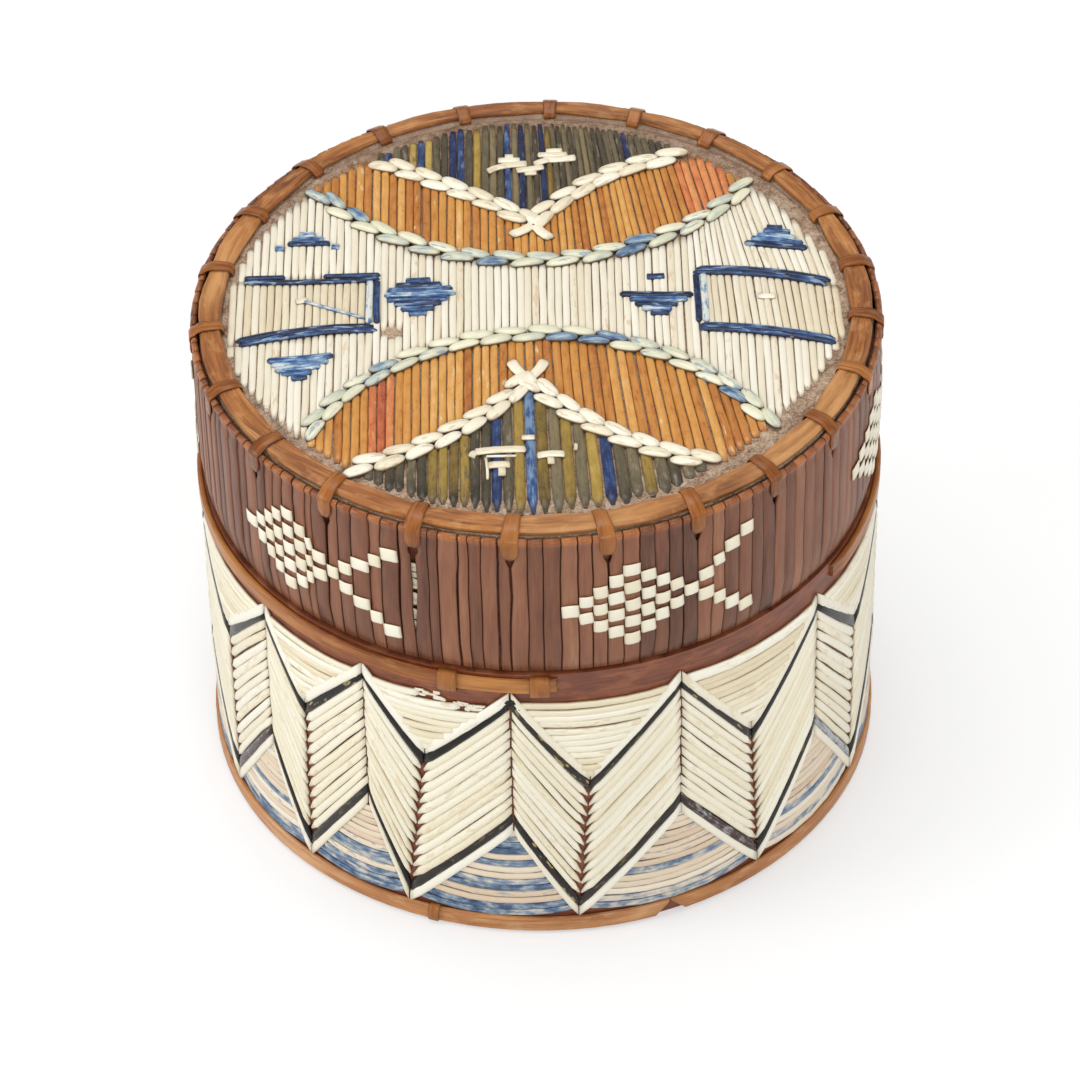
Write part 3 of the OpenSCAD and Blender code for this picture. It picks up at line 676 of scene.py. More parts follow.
lid_splint = splint_finish(
    'lid_hoop_splint',
    ((0.25, (0.085, 0.027, 0.010)), (0.45, (0.235, 0.078, 0.020)), (0.58, (0.37, 0.140, 0.036)),
     (0.75, (0.52, 0.245, 0.080))),
    (0.60, 0.31, 0.115))
rim_splint = splint_finish(
    'rim_hoop_splint',
    ((0.25, (0.095, 0.028, 0.008)), (0.45, (0.23, 0.070, 0.016)), (0.58, (0.35, 0.118, 0.026)),
     (0.75, (0.50, 0.205, 0.055))),
    (0.52, 0.225, 0.058), (0.26, 0.44))
base_splint = splint_finish(
    'base_hoop_splint',
    ((0.25, (0.24, 0.085, 0.028)), (0.45, (0.43, 0.180, 0.062)), (0.58, (0.55, 0.255, 0.098)),
     (0.75, (0.65, 0.36, 0.165))),
    (0.70, 0.43, 0.23))
lashing_root = splint_finish(
    'root_lashing',
    ((0.25, (0.085, 0.024, 0.006)), (0.45, (0.19, 0.056, 0.011)), (0.58, (0.285, 0.092, 0.018)),
     (0.75, (0.41, 0.155, 0.036))),
    (0.40, 0.155, 0.036), (0.2, 0.36))
strip_root = root_finish('lid_root_strip')
wall_bark = bark_finish(
    'wall_bark',
    ((0.3, (0.070, 0.018, 0.008)), (0.48, (0.165, 0.042, 0.016)), (0.6, (0.235, 0.068, 0.025)),
     (0.75, (0.32, 0.112, 0.046))),
    (0.29, 0.110, 0.052), 0.6, (0.32, 0.52))
lining_bark = bark_finish(
    'lining_bark',
    ((0.3, (0.20, 0.105, 0.055)), (0.48, (0.36, 0.205, 0.11)), (0.6, (0.45, 0.275, 0.155)),
     (0.75, (0.55, 0.37, 0.23))),
    (0.50, 0.33, 0.20), 0.7, (0.6, 0.8))
lid_bark = fuzzy_bark_finish('lid_bark')


# Rods for each kind of piece
def turn_flat(rod):
    """Turns an eight-sided rod so that flats lie above and below."""
    only(rod)
    bpy.ops.object.mode_set(mode='EDIT')
    bpy.ops.mesh.select_all(action='SELECT')
    bpy.ops.transform.rotate(value=math.radians(22.5), orient_axis='Y', center_override=(0, 0.5, 0.5))


def shape_level(rod, low, high, wider, lift):
    """Widens and lifts the corners of a rod between two heights."""
    choose(rod, 'VERT', lambda corner: low < corner.co.z < high)
    bpy.ops.transform.resize(value=(wider, 1, 1), center_override=(0, 0.5, 0.5))
    bpy.ops.transform.translate(value=(0, 0, lift))


def model_quill(lengths):
    """Flattened quill along Y: flat below, steep at the sides and nearly flat on top."""
    rod = model_rod(8, lengths)
    turn_flat(rod)
    shape_level(rod, 0.85, 1.1, 1.25, 0.04)
    shape_level(rod, 0.55, 0.85, 0.95, 0.09)
    shape_level(rod, 0.15, 0.45, 1.08, 0.14)
    shape_level(rod, -0.1, 0.15, 2.45, -0.04)
    bpy.ops.object.mode_set(mode='OBJECT')
    return rod


def model_leaf(lengths):
    """Swollen stitch with pointed ends."""
    rod = model_quill(lengths)
    bpy.ops.object.mode_set(mode='EDIT')
    for step in range(lengths + 1):
        place = step / lengths
        wide = max(0.12, math.sin(math.pi * place)) ** 0.6
        choose(rod, 'VERT', lambda corner: abs(corner.co.y - place) < 0.01)
        bpy.ops.transform.resize(value=(wide, 1, between(0.35, 1, wide)), center_override=(0, place, 0))
    bpy.ops.object.mode_set(mode='OBJECT')
    return rod


def model_band(lengths, edge):
    """Flat band along Y from 0 to 1, as wide as 1 and from 0 to 1 thick, with rounded edges."""
    band = model_rod(8, lengths)
    turn_flat(band)
    choose(band, 'VERT', lambda corner: abs(corner.co.x) < 0.3)
    bpy.ops.transform.resize(value=(edge, 1, 1.08), center_override=(0, 0.5, 0.5))
    choose(band, 'VERT', lambda corner: abs(corner.co.z - 0.5) < 0.3)
    bpy.ops.transform.resize(value=(1.08, 1, 1), center_override=(0, 0.5, 0.5))
    bpy.ops.object.mode_set(mode='OBJECT')
    return band


slant_rod = pinch_ends(model_quill(6), 0.8, 0.3, 0.7)
cut_rod = pinch_ends(model_quill(6), 0.95, 0.85, 0.7)
level_rod = pinch_ends(model_quill(8), 0.8, 0.8, 0.6)
field_rod = pinch_ends(model_quill(5), 0.75, 0.75, 0.55)
blunt_rod = pinch_ends(model_quill(5), 0.55, 0.75, 0.5)
torn_rod = pinch_ends(model_quill(5), 0.34, 0.75, 0.5)
long_rod = pinch_ends(model_quill(12), 0.4, 0.4, 0.5)
stitch_rod = model_leaf(8)
check_rod = pinch_ends(model_band(4, 2.1), 0.93, 0.93, 0.4)
strip_rod = model_band(18, 2.25)
lashing_rod = model_band(14, 2.0)
strap_rod = model_band(7, 2.1)
hoop_rod = model_band(240, 2.2)
fibre_rod = pinch_ends(model_rod(3, 3), 0.3, 0.2, 0.5)


# Quills of the wall
POINT_PITCH = (UPPER_POINT_Z - LOWER_POINT_Z) / QUILL_STEPS


def point_azimuth(k):
    if k < 0:
        return point_azimuth(k + POINT_COUNT) - 360
    if k < len(FRONT_POINTS):
        return FRONT_POINTS[k]
    share = (k - len(FRONT_POINTS) + 1) / (BACK_POINTS + 1)
    return between(FRONT_POINTS[-1], FRONT_POINTS[0] + 360, share)


def valley_azimuth(k, line):
    """The valleys at the front lean a little from their upper to their lower end."""
    if 0 <= k < len(FRONT_VALLEYS):
        upper, lower = FRONT_VALLEYS[k][:2]
        return between(upper, lower, line / QUILL_STEPS)
    return (point_azimuth(k) + point_azimuth(k + 1)) / 2


def valley_top(k):
    return UPPER_VALLEY_Z + (FRONT_VALLEYS[k][2] if 0 <= k < len(FRONT_VALLEYS) else 0)


def valley_pitch(k):
    return (valley_top(k) - LOWER_VALLEY_Z) / QUILL_STEPS


def point_height(line):
    return between(UPPER_POINT_Z, LOWER_POINT_Z, line / QUILL_STEPS)


def valley_height(k, line):
    return between(valley_top(k), LOWER_VALLEY_Z, line / QUILL_STEPS)


def line_share(k, line, z):
    return (point_height(line) - z) / (point_height(line) - valley_height(k, line))


# How far a slanting quill stops short of its point and its valley, and how a cut one differs
POINT_SHORT = (0.06, 0.3)
VALLEY_SHORT = (0.05, 0.4)
CUT_SHORT = 0.15
CUT_FILL = 1.18
SLANT_MITRE = 0.4
STAINED_SHARE = 0.4


def lay_arm(bundle, rod, k, side, line, look, height, tuck=0.0):
    """One slanting quill of the zigzag, from a point down to the valley at one side of it."""
    valley = k if side > 0 else k - 1
    run = arc_length(valley_azimuth(valley, line) - point_azimuth(k))
    top = point_height(line) - tuck
    drop = valley_height(valley, line) - top
    inner = draw.uniform(*POINT_SHORT) / abs(run)
    short = draw.uniform(*VALLEY_SHORT) if rod is slant_rod else CUT_SHORT
    outer = 1 - short / abs(run)
    fill = 1.0 if rod is slant_rod else CUT_FILL
    origin = arc_length(point_azimuth(k))
    lean = abs(run) / math.hypot(run, drop)
    widths = (POINT_PITCH * lean * fill, valley_pitch(valley) * lean * fill * draw.uniform(0.96, 1.04))
    lay_quill(bundle, rod, on_wall, (origin + run * inner, top + drop * inner),
              (origin + run * outer, top + drop * outer), widths, QUILL_H * height, look,
              lift=draw.uniform(0, 0.07), bow=draw.uniform(-0.1, 0.3), drift=0.2,
              tilt=side * draw.uniform(0.04, 0.18),
              mitre=(1, SLANT_MITRE if rod is slant_rod else 1))


def lay_arms(name, sides, lines, finish, slot, tones, stain=0.4, height=0.85, tuck=0.0):
    """Slanting quills of the chevrons and of the lines beside them."""
    bundle = Bundle(name)
    rod = slant_rod if len(lines) > 1 else cut_rod
    for k in range(POINT_COUNT):
        for side in sides:
            for line in lines:
                marks = look(*tones, at_times(stain, STAINED_SHARE))
                lay_arm(bundle, rod, k, side, line, marks, height * draw.uniform(0.9, 1.04), tuck)
    return bundle.join('box', finish, slot, name)


KNOT_POINT = 2
KNOT_ENDS = ((1.9, -1.6), (-2.1, -1.3), (0.5, 1.2))
KNOT_W = (1.3, 1.0)
KNOT_H = QUILL_H * 0.8
KNOT_LIFT = 0.12


def lay_knot(bundle):
    """Crossed ends of dark quill over one point at the front."""
    middle = Vector((arc_length(point_azimuth(KNOT_POINT)), UPPER_POINT_Z))
    for end in KNOT_ENDS:
        run = Vector(end)
        lay_quill(bundle, level_rod, on_wall, middle - run * 0.5, middle + run, KNOT_W, KNOT_H,
                  look(0.2, 0.5), lift=KNOT_LIFT)


def lay_dark_arms(name, line, odd_tones, flawed):
    """Dark quills of the zigzag. A few at the front are faded, or flawed where the dye has gone."""
    bundle = Bundle(name)
    for k in range(POINT_COUNT):
        for side in (-1, 1):
            tone = odd_tones.get((k, side), draw.uniform(0.25, 0.7))
            flaw = 1.0 if (k, side) in flawed else 0.35 * draw.random()
            marks = (tone, flaw, draw.uniform(0, LAST_SEED))
            lay_arm(bundle, cut_rod, k, side, line, marks, draw.uniform(0.8, 0.92))
    if line == 0:
        lay_knot(bundle)
    return bundle.join('box', dark_wall, 'quill_dark', name)


LEVEL_FILL = 0.93
SHORTEST_LEVEL = 1.4
FLAKE_COUNT = 7


def lay_level(bundle, left, right, z, tones, height=0.82, bow=0.0, stain=0.0, wide=LEVEL_PITCH, slope=0.1):
    """One level quill of the wall, between two azimuths."""
    start = arc_length(left)
    end = arc_length(right)
    if end - start > SHORTEST_LEVEL:
        lay_quill(bundle, level_rod, on_wall, (start, z + give(slope)),
                  (end, z + give(slope)), (wide * LEVEL_FILL,) * 2,
                  QUILL_H * height * draw.uniform(0.92, 1.08), look(*tones, stain), bow=bow, drift=0.2,
                  tilt=draw.uniform(0, 0.14))


def lay_flakes(bundle, left, right, z):
    """Torn scraps of quill at the end of a worn row."""
    for i in range(FLAKE_COUNT):
        at = Vector((arc_length(draw.uniform(left, right)), z + draw.uniform(-0.7, 0.6)))
        run = Vector((draw.uniform(0.9, 2.8), draw.uniform(-0.5, 0.4)))
        wide = draw.uniform(0.4, 0.9)
        height = QUILL_H * draw.uniform(0.2, 0.5)
        lay_quill(bundle, torn_rod, on_wall, at + run, at, (wide, wide * 1.3), height,
                  look(0.8, 1, 0.4), lift=draw.uniform(0, 0.2), bow=give(0.2))


TRIANGLE_TOP = UPPER_POINT_Z + 0.5
OUTLINE_TUCK = 1.1
WORN_TRIANGLE = 1
WORN_ROWS = ((0.02, 0.4), (0.02, 0.74), (0.0, 1.0))
WORN_TONES = (0.75, 1)
FLAKE_REACH = (1.5, 2.5)
TRIANGLE_TONES = (0.2, 0.85)
TRIANGLE_BOW = 0.45
TRIANGLE_SLOPE = 0.28
# One triangle has a wide white quill along its top
WIDE_TOP_TRIANGLE = 3
WIDE_TOP_TONES = (0.98, 1)
WIDE_TOP_W = LEVEL_PITCH * 1.6
WIDE_TOP_RISE = LEVEL_PITCH * 0.3
WIDE_TOP_INSET = 0.6


def lay_triangles():
    """Level cream quills in the triangles above the chevrons. The worn one has lost part of its top rows."""
    bundle = Bundle('triangle_quills')
    for k in range(POINT_COUNT):
        rows = int((TRIANGLE_TOP - LEVEL_PITCH / 2 - valley_top(k)) / LEVEL_PITCH) + 1
        for row in range(rows):
            z = TRIANGLE_TOP - LEVEL_PITCH * (row + 0.5)
            outline_top = point_height(-1) - OUTLINE_TUCK
            share = max(0, (outline_top - z) / (outline_top - valley_height(k, -1)))
            left = between(point_azimuth(k), valley_azimuth(k, -1), share)
            right = between(point_azimuth(k + 1), valley_azimuth(k, -1), share)
            tones = TRIANGLE_TONES
            wide = LEVEL_PITCH
            if k == WORN_TRIANGLE and row < len(WORN_ROWS):
                first, last = WORN_ROWS[row]
                left, right = between(left, right, first), between(left, right, last)
                tones = WORN_TONES
                if last < 1:
                    lay_flakes(bundle, right - FLAKE_REACH[0], right + FLAKE_REACH[1], z)
            if k == WIDE_TOP_TRIANGLE and row == 0:
                tones = WIDE_TOP_TONES
                wide = WIDE_TOP_W
                z += WIDE_TOP_RISE
                left = point_azimuth(k) + WIDE_TOP_INSET
                right = point_azimuth(k + 1) - WIDE_TOP_INSET
            lay_level(bundle, left, right, z, tones, bow=TRIANGLE_BOW, stain=at_times(0.5, 0.3), wide=wide,
                      slope=TRIANGLE_SLOPE)
    return bundle.join('box', cream_wall, 'quill_cream', 'triangle_quills')


def fan_is_blue(k, row):
    if k < len(FRONT_BLUE_ROWS):
        return row in FRONT_BLUE_ROWS[k]
    return row < 2 or row == 5 or (row + 2 * k) % 7 == 1


FAN_SAG = 0.055
FAN_H = 0.6
FAN_CREAM_TONES = (0.35, 0.95)
FAN_BLUE_TONES = (0.22, 0.58)
PALE_FANS = (3, 4)
PALE_FAN_TONES = (0.45, 0.75)


def lay_fans(name, blue, finish, slot):
    """Level quills that fill the triangles below the chevrons, striped blue and cream, each one sagging."""
    bundle = Bundle(name)
    rows = int((LOWER_POINT_Z - BAND_BOTTOM) / LEVEL_PITCH)
    for k in range(POINT_COUNT):
        for row in range(rows):
            if fan_is_blue(k, row) == blue:
                z = BAND_BOTTOM + (row + 0.2) * LEVEL_PITCH
                edge = QUILL_STEPS + 1.1
                shares = [min(1, line_share(j, edge, z)) for j in (k - 1, k)]
                left = between(point_azimuth(k), valley_azimuth(k - 1, edge), shares[0])
                right = between(point_azimuth(k), valley_azimuth(k, edge), shares[1])
                bow = FAN_SAG * arc_length(right - left)
                tones = FAN_CREAM_TONES
                if blue:
                    tones = PALE_FAN_TONES if k in PALE_FANS else FAN_BLUE_TONES
                lay_level(bundle, left, right, z + bow * 0.75, tones, FAN_H, bow, at_times(0.7, 0.35))
    return bundle.join('box', finish, slot, name)


PALE_LINES = range(1, CHEVRON_QUILLS + 1)
lay_arms('chevron_falling_quills', (1,), PALE_LINES, cream_wall, 'quill_cream', (0.4, 0.8))
lay_arms('chevron_rising_quills', (-1,), PALE_LINES, cream_wall, 'quill_cream', (0.4, 0.9))
lay_dark_arms('upper_dark_quills', 0, {}, ((1, -1), (2, 1), (3, 1)))
lay_dark_arms('lower_dark_quills', QUILL_STEPS, {(3, 1): 0.86, (4, 1): 0.97, (0, -1): 0.84}, ((2, 1),))
lay_arms('upper_outline_quills', (-1, 1), (-1,), white_wall, 'quill_cream', (0.4, 0.9), height=0.9,
         tuck=OUTLINE_TUCK)
lay_arms('lower_outline_quills', (-1, 1), (QUILL_STEPS + 1,), white_wall, 'quill_cream', (0.4, 0.9),
         height=0.95)
lay_triangles()
lay_fans('fan_cream_quills', False, fan_cream, 'quill_pale')
lay_fans('fan_blue_quills', True, fan_blue, 'quill_blue_mottled')


# Hoops and lashings of the box
RIM_STRAP_T = 0.55
BASE_STRAP_T = 0.5


def lay_hoop(name, body, start, end, section, pale, finish, slot):
    """Bends a band round the axis. section gives its azimuth, radius and height, and pale its stain."""
    bundle = Bundle(name)

    def place(x, y, z):
        azimuth, r, height = section(between(start, end, y), x, z)
        return round_spot(r, math.radians(azimuth), height)

    def marks(x, y, z):
        azimuth = between(start, end, y)
        tip = arc_length(min(azimuth - start, end - azimuth))
        # The second mark is painted shade towards the ends of the splint.
        return (0.5 + 0.3 * wander(azimuth, 3, 0.05), max(0, 1 - tip / 2), pale(azimuth))

    def grain(x, y, z):
        return (x * 4 + z, arc_length(between(start, end, y)), 0)

    bundle.lay(hoop_rod, place, marks, grain)
    return bundle.join(body, finish, slot, name, crisp=True)


def rim_section(azimuth, x, z):
    """Splint round the rim: hand-split, so its edges are not quite straight."""
    top = RIM_HOOP_Z + RIM_HOOP_H - 0.12 + 0.12 * wander(azimuth, 5, 0.06)
    low = RIM_HOOP_Z + 0.18 + 0.18 * wander(azimuth, 6, 0.05)
    ragged = 0.9 * wander(x * 9, 8, 1.3)
    first = smooth((azimuth - RIM_HOOP_START) / 1.5)
    last = smooth((RIM_HOOP_END - azimuth) / 1.5)
    azimuth += ragged * (1 - first) - ragged * (1 - last)
    thick = HOOP_T * (0.55 + 0.45 * first * last) - 0.1 + 0.1 * wander(azimuth, 7, 0.04)
    return azimuth, QUILL_R + z * thick, between(top, low, x + 0.5)


def rim_pale(azimuth):
    """The stretch between the two front lashings is a paler splint."""
    paler = smooth((azimuth - 345) / 2) * 0.9
    return max(paler, 0.6 * smooth(2 * wander(azimuth, 11, 0.03)))


def base_section(azimuth, x, z):
    """Splint round the base, with a wedge-shaped opening where its ends meet."""
    up = 0.5 - x
    half = math.degrees(between(SCARF_W / 2, SCARF_TIP, up) / HOOP_R)
    share = (azimuth - SCARF_AZIMUTH) / 360
    azimuth += half * (1 - 2 * share)
    thick = HOOP_T - 0.08 + 0.08 * wander(azimuth, 4, 0.05)
    top = BASE_HOOP_TOP - 0.1 + 0.1 * wander(azimuth, 9, 0.05)
    return azimuth, QUILL_R + z * thick, between(BASE_HOOP_Z, top, up)


def base_pale(azimuth):
    return smooth(2 * wander(azimuth, 12, 0.03))


lay_hoop('rim_hoop', 'box', RIM_HOOP_START, RIM_HOOP_END, rim_section, rim_pale, rim_splint, 'splint')
lay_hoop('base_hoop', 'box', SCARF_AZIMUTH, SCARF_AZIMUTH + 360, base_section, base_pale, base_splint,
         'base_splint')


def lay_straps(name, azimuths, width, path, thickness):
    """Short root straps round a hoop of the box."""
    bundle = Bundle(name)
    for azimuth in azimuths:
        half = math.degrees(width / 2 / HOOP_R)
        slant = give(0.3)

        def edges(t, z):
            middle = azimuth + slant * (t - 0.5)
            return middle - half, middle + half

        lay_band(bundle, strap_rod, path, edges, thickness, look(0.5, 0.75, 0.6))
    return bundle.join('box', lashing_root, 'root_lashing', name)


RIM_STRAP = ((68.0, 65.75), (69.2, 65.64), (69.74, 66.1), (69.85, 67.2), (69.85, 68.9), (69.74, 70.0),
             (69.2, 70.44), (68.0, 70.4))
BASE_STRAP = ((68.6, 0.32), (69.4, 0.36), (69.78, 0.8), (69.85, 1.8), (69.82, 3.0), (69.6, 3.9), (69.0, 4.4),
              (68.0, 4.46))
lay_straps('rim_lashings', RIM_LASHINGS, RIM_LASHING_W, RIM_STRAP, RIM_STRAP_T)
lay_straps('base_lashing', (BASE_LASHING_AZIMUTH,), BASE_LASHING_W, BASE_STRAP, BASE_STRAP_T)

# Root strips round the side of the lid
LASHING_TIP = 100.4
SLIT_END = 88
OPEN_SLIT = 22
OPEN_SLIT_W = 1.1
OPEN_SLIT_END = 77


def lashing_azimuth(i):
    even = -5 + i * 360 / LASHING_COUNT
    return even - 3 * (1 - math.cos(math.radians(even)))


def strip_edges():
    """Azimuths of the edges between strips: uneven, and one of them under each lashing."""
    edges = []
    for i in range(STRIP_COUNT):
        edges.append(FISH_HEAD + (i - 0.5) * STRIP_ANGLE + give(0.5))
    slits = {}
    for j in range(LASHING_COUNT):
        target = lashing_azimuth(j)
        nearest = round((target - FISH_HEAD) / STRIP_ANGLE + 0.5)
        shift = target - (FISH_HEAD + (nearest - 0.5) * STRIP_ANGLE)
        slits[nearest % STRIP_COUNT] = OPEN_SLIT_W if j == OPEN_SLIT else draw.uniform(0.15, 0.45)
        for step in range(-3, 4):
            edges[(nearest + step) % STRIP_COUNT] += shift * (1 - abs(step) / 4)
        edges[nearest % STRIP_COUNT] = target if nearest >= 0 else target + 360
    return edges, slits


def crease_width():
    """Half of the gap between two strips: mostly a hairline, here and there a crack."""
    return draw.uniform(0.0, 0.035) + (draw.uniform(0.06, 0.16) if draw.random() < 0.14 else 0)


STRIP_EDGES, STRIP_SLITS = strip_edges()
STRIP_GAPS = [crease_width() for i in range(STRIP_COUNT)]


def strip_edge(i, z):
    """Azimuth of an edge at a height: it drifts a little as the root does."""
    turns, i = divmod(i, STRIP_COUNT)
    drift = 0.34 * wander(z, i, 0.11) + 0.1 * wander(z, i + 60, 0.5)
    return STRIP_EDGES[i] + 360 * turns + math.degrees(drift / ROOT_R)


def strip_gap(i, z):
    """Half of the gap at an edge, wider in the hole and the slit below a lashing."""
    i %= STRIP_COUNT
    opening = 0
    if i in STRIP_SLITS:
        hole = 0.75 * smooth((102 - z) / 1.2) * smooth((z - 98.6) / 1.6)
        slit_end = OPEN_SLIT_END if STRIP_SLITS[i] > 1 else SLIT_END
        slit = 0.4 * STRIP_SLITS[i] * smooth((101 - z) / 1.5) * smooth((z - slit_end) / 9)
        slit *= 1 + 0.5 * wander(z, i, 0.5)
        opening = hole + slit
    crack = 1 + 1.2 * wander(z, i + 30, 0.08)
    return math.degrees((STRIP_GAPS[i] * max(0.2, crack) + opening) / ROOT_R)


# Heights at which a strip lies on the face of the ring
FACE_HEIGHTS = (LID_Z + 7, 84, 91, 95.5, 98.4, 99.4, 100.3, 101.3)
STRIP_T = 0.8


def lay_strips():
    """Root strips that wrap the side of the lid and the ridge above it."""
    bundle = Bundle('root_strips')
    for i in range(STRIP_COUNT):
        face = ROOT_R - draw.uniform(0.02, 0.16)
        waist = face - 0.16
        path = ((66.0, LID_Z + 0.02), (67.0, LID_Z + 0.02), (67.45, LID_Z + 0.3), (67.9, LID_Z + 2.4),
                *[(face, height) for height in FACE_HEIGHTS],
                (waist, RIDGE_Z - 2.3), (waist, RIDGE_Z - 1.4), (ROOT_R - 0.04, RIDGE_Z - 0.8),
                (ROOT_R - 0.08, RIDGE_Z - 0.3), (68.0, RIDGE_Z + 0.12), (67.5, RIDGE_Z + 0.24),
                (67.0, RIDGE_Z - 0.1))

        def edges(t, z):
            return strip_edge(i, z) + strip_gap(i, z), strip_edge(i + 1, z) - strip_gap(i + 1, z)

        lay_band(bundle, strip_rod, path, edges, STRIP_T, look(0.15, 0.78), tilt=draw.uniform(0, 0.2),
                 crease_shade=draw.uniform(0.35, 1))
    return bundle.join('lid', strip_root, 'root_dark', 'root_strips')


CHECK_T = 0.36
# Pale quills behind the open slit: first and last height, step, half length, depth and thickness
SLIT_QUILLS = (79, 97, 1.5)
SLIT_QUILL_HALF = 0.9
SLIT_QUILL_DEPTH = 1.0
SLIT_QUILL_T = 0.3


def lay_check(bundle, strip, rise):
    """One white check over a strip, tucked in at both of its edges."""
    z = FISH_Z + rise + give(0.12)
    left = arc_length(strip_edge(strip, z) + strip_gap(strip, z), ROOT_R) + give(0.05)
    right = arc_length(strip_edge(strip + 1, z) - strip_gap(strip + 1, z), ROOT_R) - give(0.05)
    slope = draw.uniform(0.0, 0.4)
    wide = CHECK_H * draw.uniform(0.9, 1.04)
    low_end, high_end = (left, z - slope / 2), (right, z + slope / 2)
    lay_quill(bundle, check_rod, on_strips, low_end, high_end, (wide, wide), CHECK_T,
              look(0.3, 0.9), lift=0.0, bow=draw.uniform(-0.15, 0.3))


def lay_slit_quills(bundle):
    """Pale quills that show behind the one open slit."""
    middle = arc_length(lashing_azimuth(OPEN_SLIT - LASHING_COUNT), ROOT_R)
    first_z, last_z, step = SLIT_QUILLS
    for i in range(int((last_z - first_z) / step)):
        z = first_z + i * step + give(0.35)
        rise = draw.uniform(-0.4, 0.9)
        wide = draw.uniform(0.8, 1.6)
        ends = (middle - SLIT_QUILL_HALF, z), (middle + SLIT_QUILL_HALF, z + rise)
        lay_quill(bundle, check_rod, on_strips, *ends, (wide, wide), SLIT_QUILL_T,
                  look(0.0, 0.5), lift=-SLIT_QUILL_DEPTH - draw.uniform(0, 0.3))


def lay_fish():
    """Fish round the lid: a lozenge of checks with a forked tail, head to the left."""
    bundle = Bundle('fish_quills')
    strips_per_fish = STRIP_COUNT // FISH_COUNT
    for fish in range(FISH_COUNT):
        head = fish * strips_per_fish
        for column in range(2 * FISH_HALF + 1):
            rows = FISH_HALF + 1 - abs(column - FISH_HALF)
            for row in range(rows):
                lay_check(bundle, head + column, (row - (rows - 1) / 2) * CHECK_PITCH)
        for step in range(1, TAIL_COLS + 1):
            for side in (-1, 1):
                lay_check(bundle, head + 2 * FISH_HALF + step, side * step * TAIL_STEP)
    lay_slit_quills(bundle)
    return bundle.join('lid', check_white, 'quill_white', 'fish_quills')


lay_strips()
lay_fish()

# Hoop on the lid and its lashings
LAP_START = -62
LAP_LENGTH = 26
HOOP_SLOPE = 0.3
BACK_NARROWING = 1.8
LID_LASHING_T = 0.34


def behind_share(azimuth):
    """1 at the back of the lid, where the hoop is thin, and 0 at the front."""
    return smooth((abs((azimuth + 180) % 360 - 180) - 100) / 60)


def lid_hoop_section(azimuth, x, z):
    """Splint on the lid: flat, a little lower at its outer edge. Its overlapping ends lie side by side."""
    nearest = min(abs((azimuth - lashing_azimuth(j) + 180) % 360 - 180) for j in range(LASHING_COUNT))
    bulge = 0.45 * smooth(nearest / 6)
    behind = behind_share(azimuth)
    inner = LID_HOOP_IN_R + 0.45 - bulge + 0.45 * wander(azimuth, 21, 0.11) + BACK_NARROWING * behind
    outer = LID_HOOP_R - 0.35 + bulge * 0.6 + 0.3 * wander(azimuth, 22, 0.09)
    first = smooth((azimuth - LAP_START) / LAP_LENGTH)
    last = smooth((LAP_START + 360 + LAP_LENGTH - azimuth) / LAP_LENGTH)
    near = between(outer - 0.3, inner, first)
    far = between(inner + 0.3, outer - 0.1 * (1 - last), last)
    low_corner = near if azimuth < LAP_START + 180 else inner
    high_corner = outer if azimuth < LAP_START + 180 else far
    top = LID_HOOP_TOP - 0.14 + 0.28 * wander(azimuth, 23, 0.09) - 0.12 * (1 - smooth(nearest / 3))
    top -= (x + 0.5) * (HOOP_SLOPE * (1 - behind) + 0.25 * wander(azimuth, 24, 0.04))
    top -= (0.5 - x) * 0.7 * behind
    return azimuth, between(low_corner, high_corner, x + 0.5), between(FIELD_Z, top, z)


def lid_hoop_pale(azimuth):
    return 0.7 * smooth(2.2 * wander(azimuth, 25, 0.04))


lay_hoop('lid_hoop', 'lid', LAP_START, LAP_START + 360 + LAP_LENGTH, lid_hoop_section, lid_hoop_pale,
         lid_splint, 'splint')


def lay_lid_lashings():
    """Root straps over the hoop and the ridge, each with its tongue in a hole of the side."""
    bundle = Bundle('lid_lashings')
    for j in range(LASHING_COUNT):
        azimuth = lashing_azimuth(j)
        in_by = BACK_NARROWING * behind_share(azimuth)
        path = ((68.0, LASHING_TIP), (68.55, LASHING_TIP + 0.4), (68.66, 102), (68.6, 103.6), (68.72, 104.5),
                (68.7, 105.0), (68.35, 105.6), (67.6, 106.0), (66.9, 106.6), (65.9, 107.0),
                (64.2 + in_by * 0.5, 107.1), (62.7 + in_by, 107.1 - in_by * 0.25),
                (61.95 + in_by * 0.9, 106.75 - in_by * 0.25),
                (61.62 + in_by * 0.6, 106.0), (61.55 + in_by * 0.4, 105.1))
        wide = LASHING_W * draw.uniform(1.08, 1.25)
        slant = give(0.5)

        def edges(t, z):
            taper = between(1, 0.85, (t - 0.5) * 2)
            if t < 0.5:
                taper = between(0.45, 1, smooth((z - LASHING_TIP) / 2))
            half = math.degrees(wide / 2 * taper / ROOT_R)
            middle = azimuth + slant * smooth((t - 0.3) / 0.7)
            return middle - half, middle + half

        lay_band(bundle, lashing_rod, path, edges, LID_LASHING_T, look(0.3, 0.75, draw.choice((0, 0, 0.6))))
    return bundle.join('lid', lashing_root, 'root_lashing', 'lid_lashings')


lay_lid_lashings()


# Quills of the lid
def arc_radius(arc):
    return (ARC_REACH ** 2 + arc[2] ** 2) / (2 * arc[2])


def arc_y(arc, x):
    radius = arc_radius(arc)
    return arc[0] * (arc[1] + radius - math.sqrt(max(0, radius ** 2 - x * x)))


def leg_turn(leg, dx):
    return math.asin(min(1, max(0, math.sin(math.radians(leg[0])) - dx / leg[1])))


def leg_rise(leg, dx):
    return leg[1] * (math.cos(leg_turn(leg, dx)) - math.cos(math.radians(leg[0])))


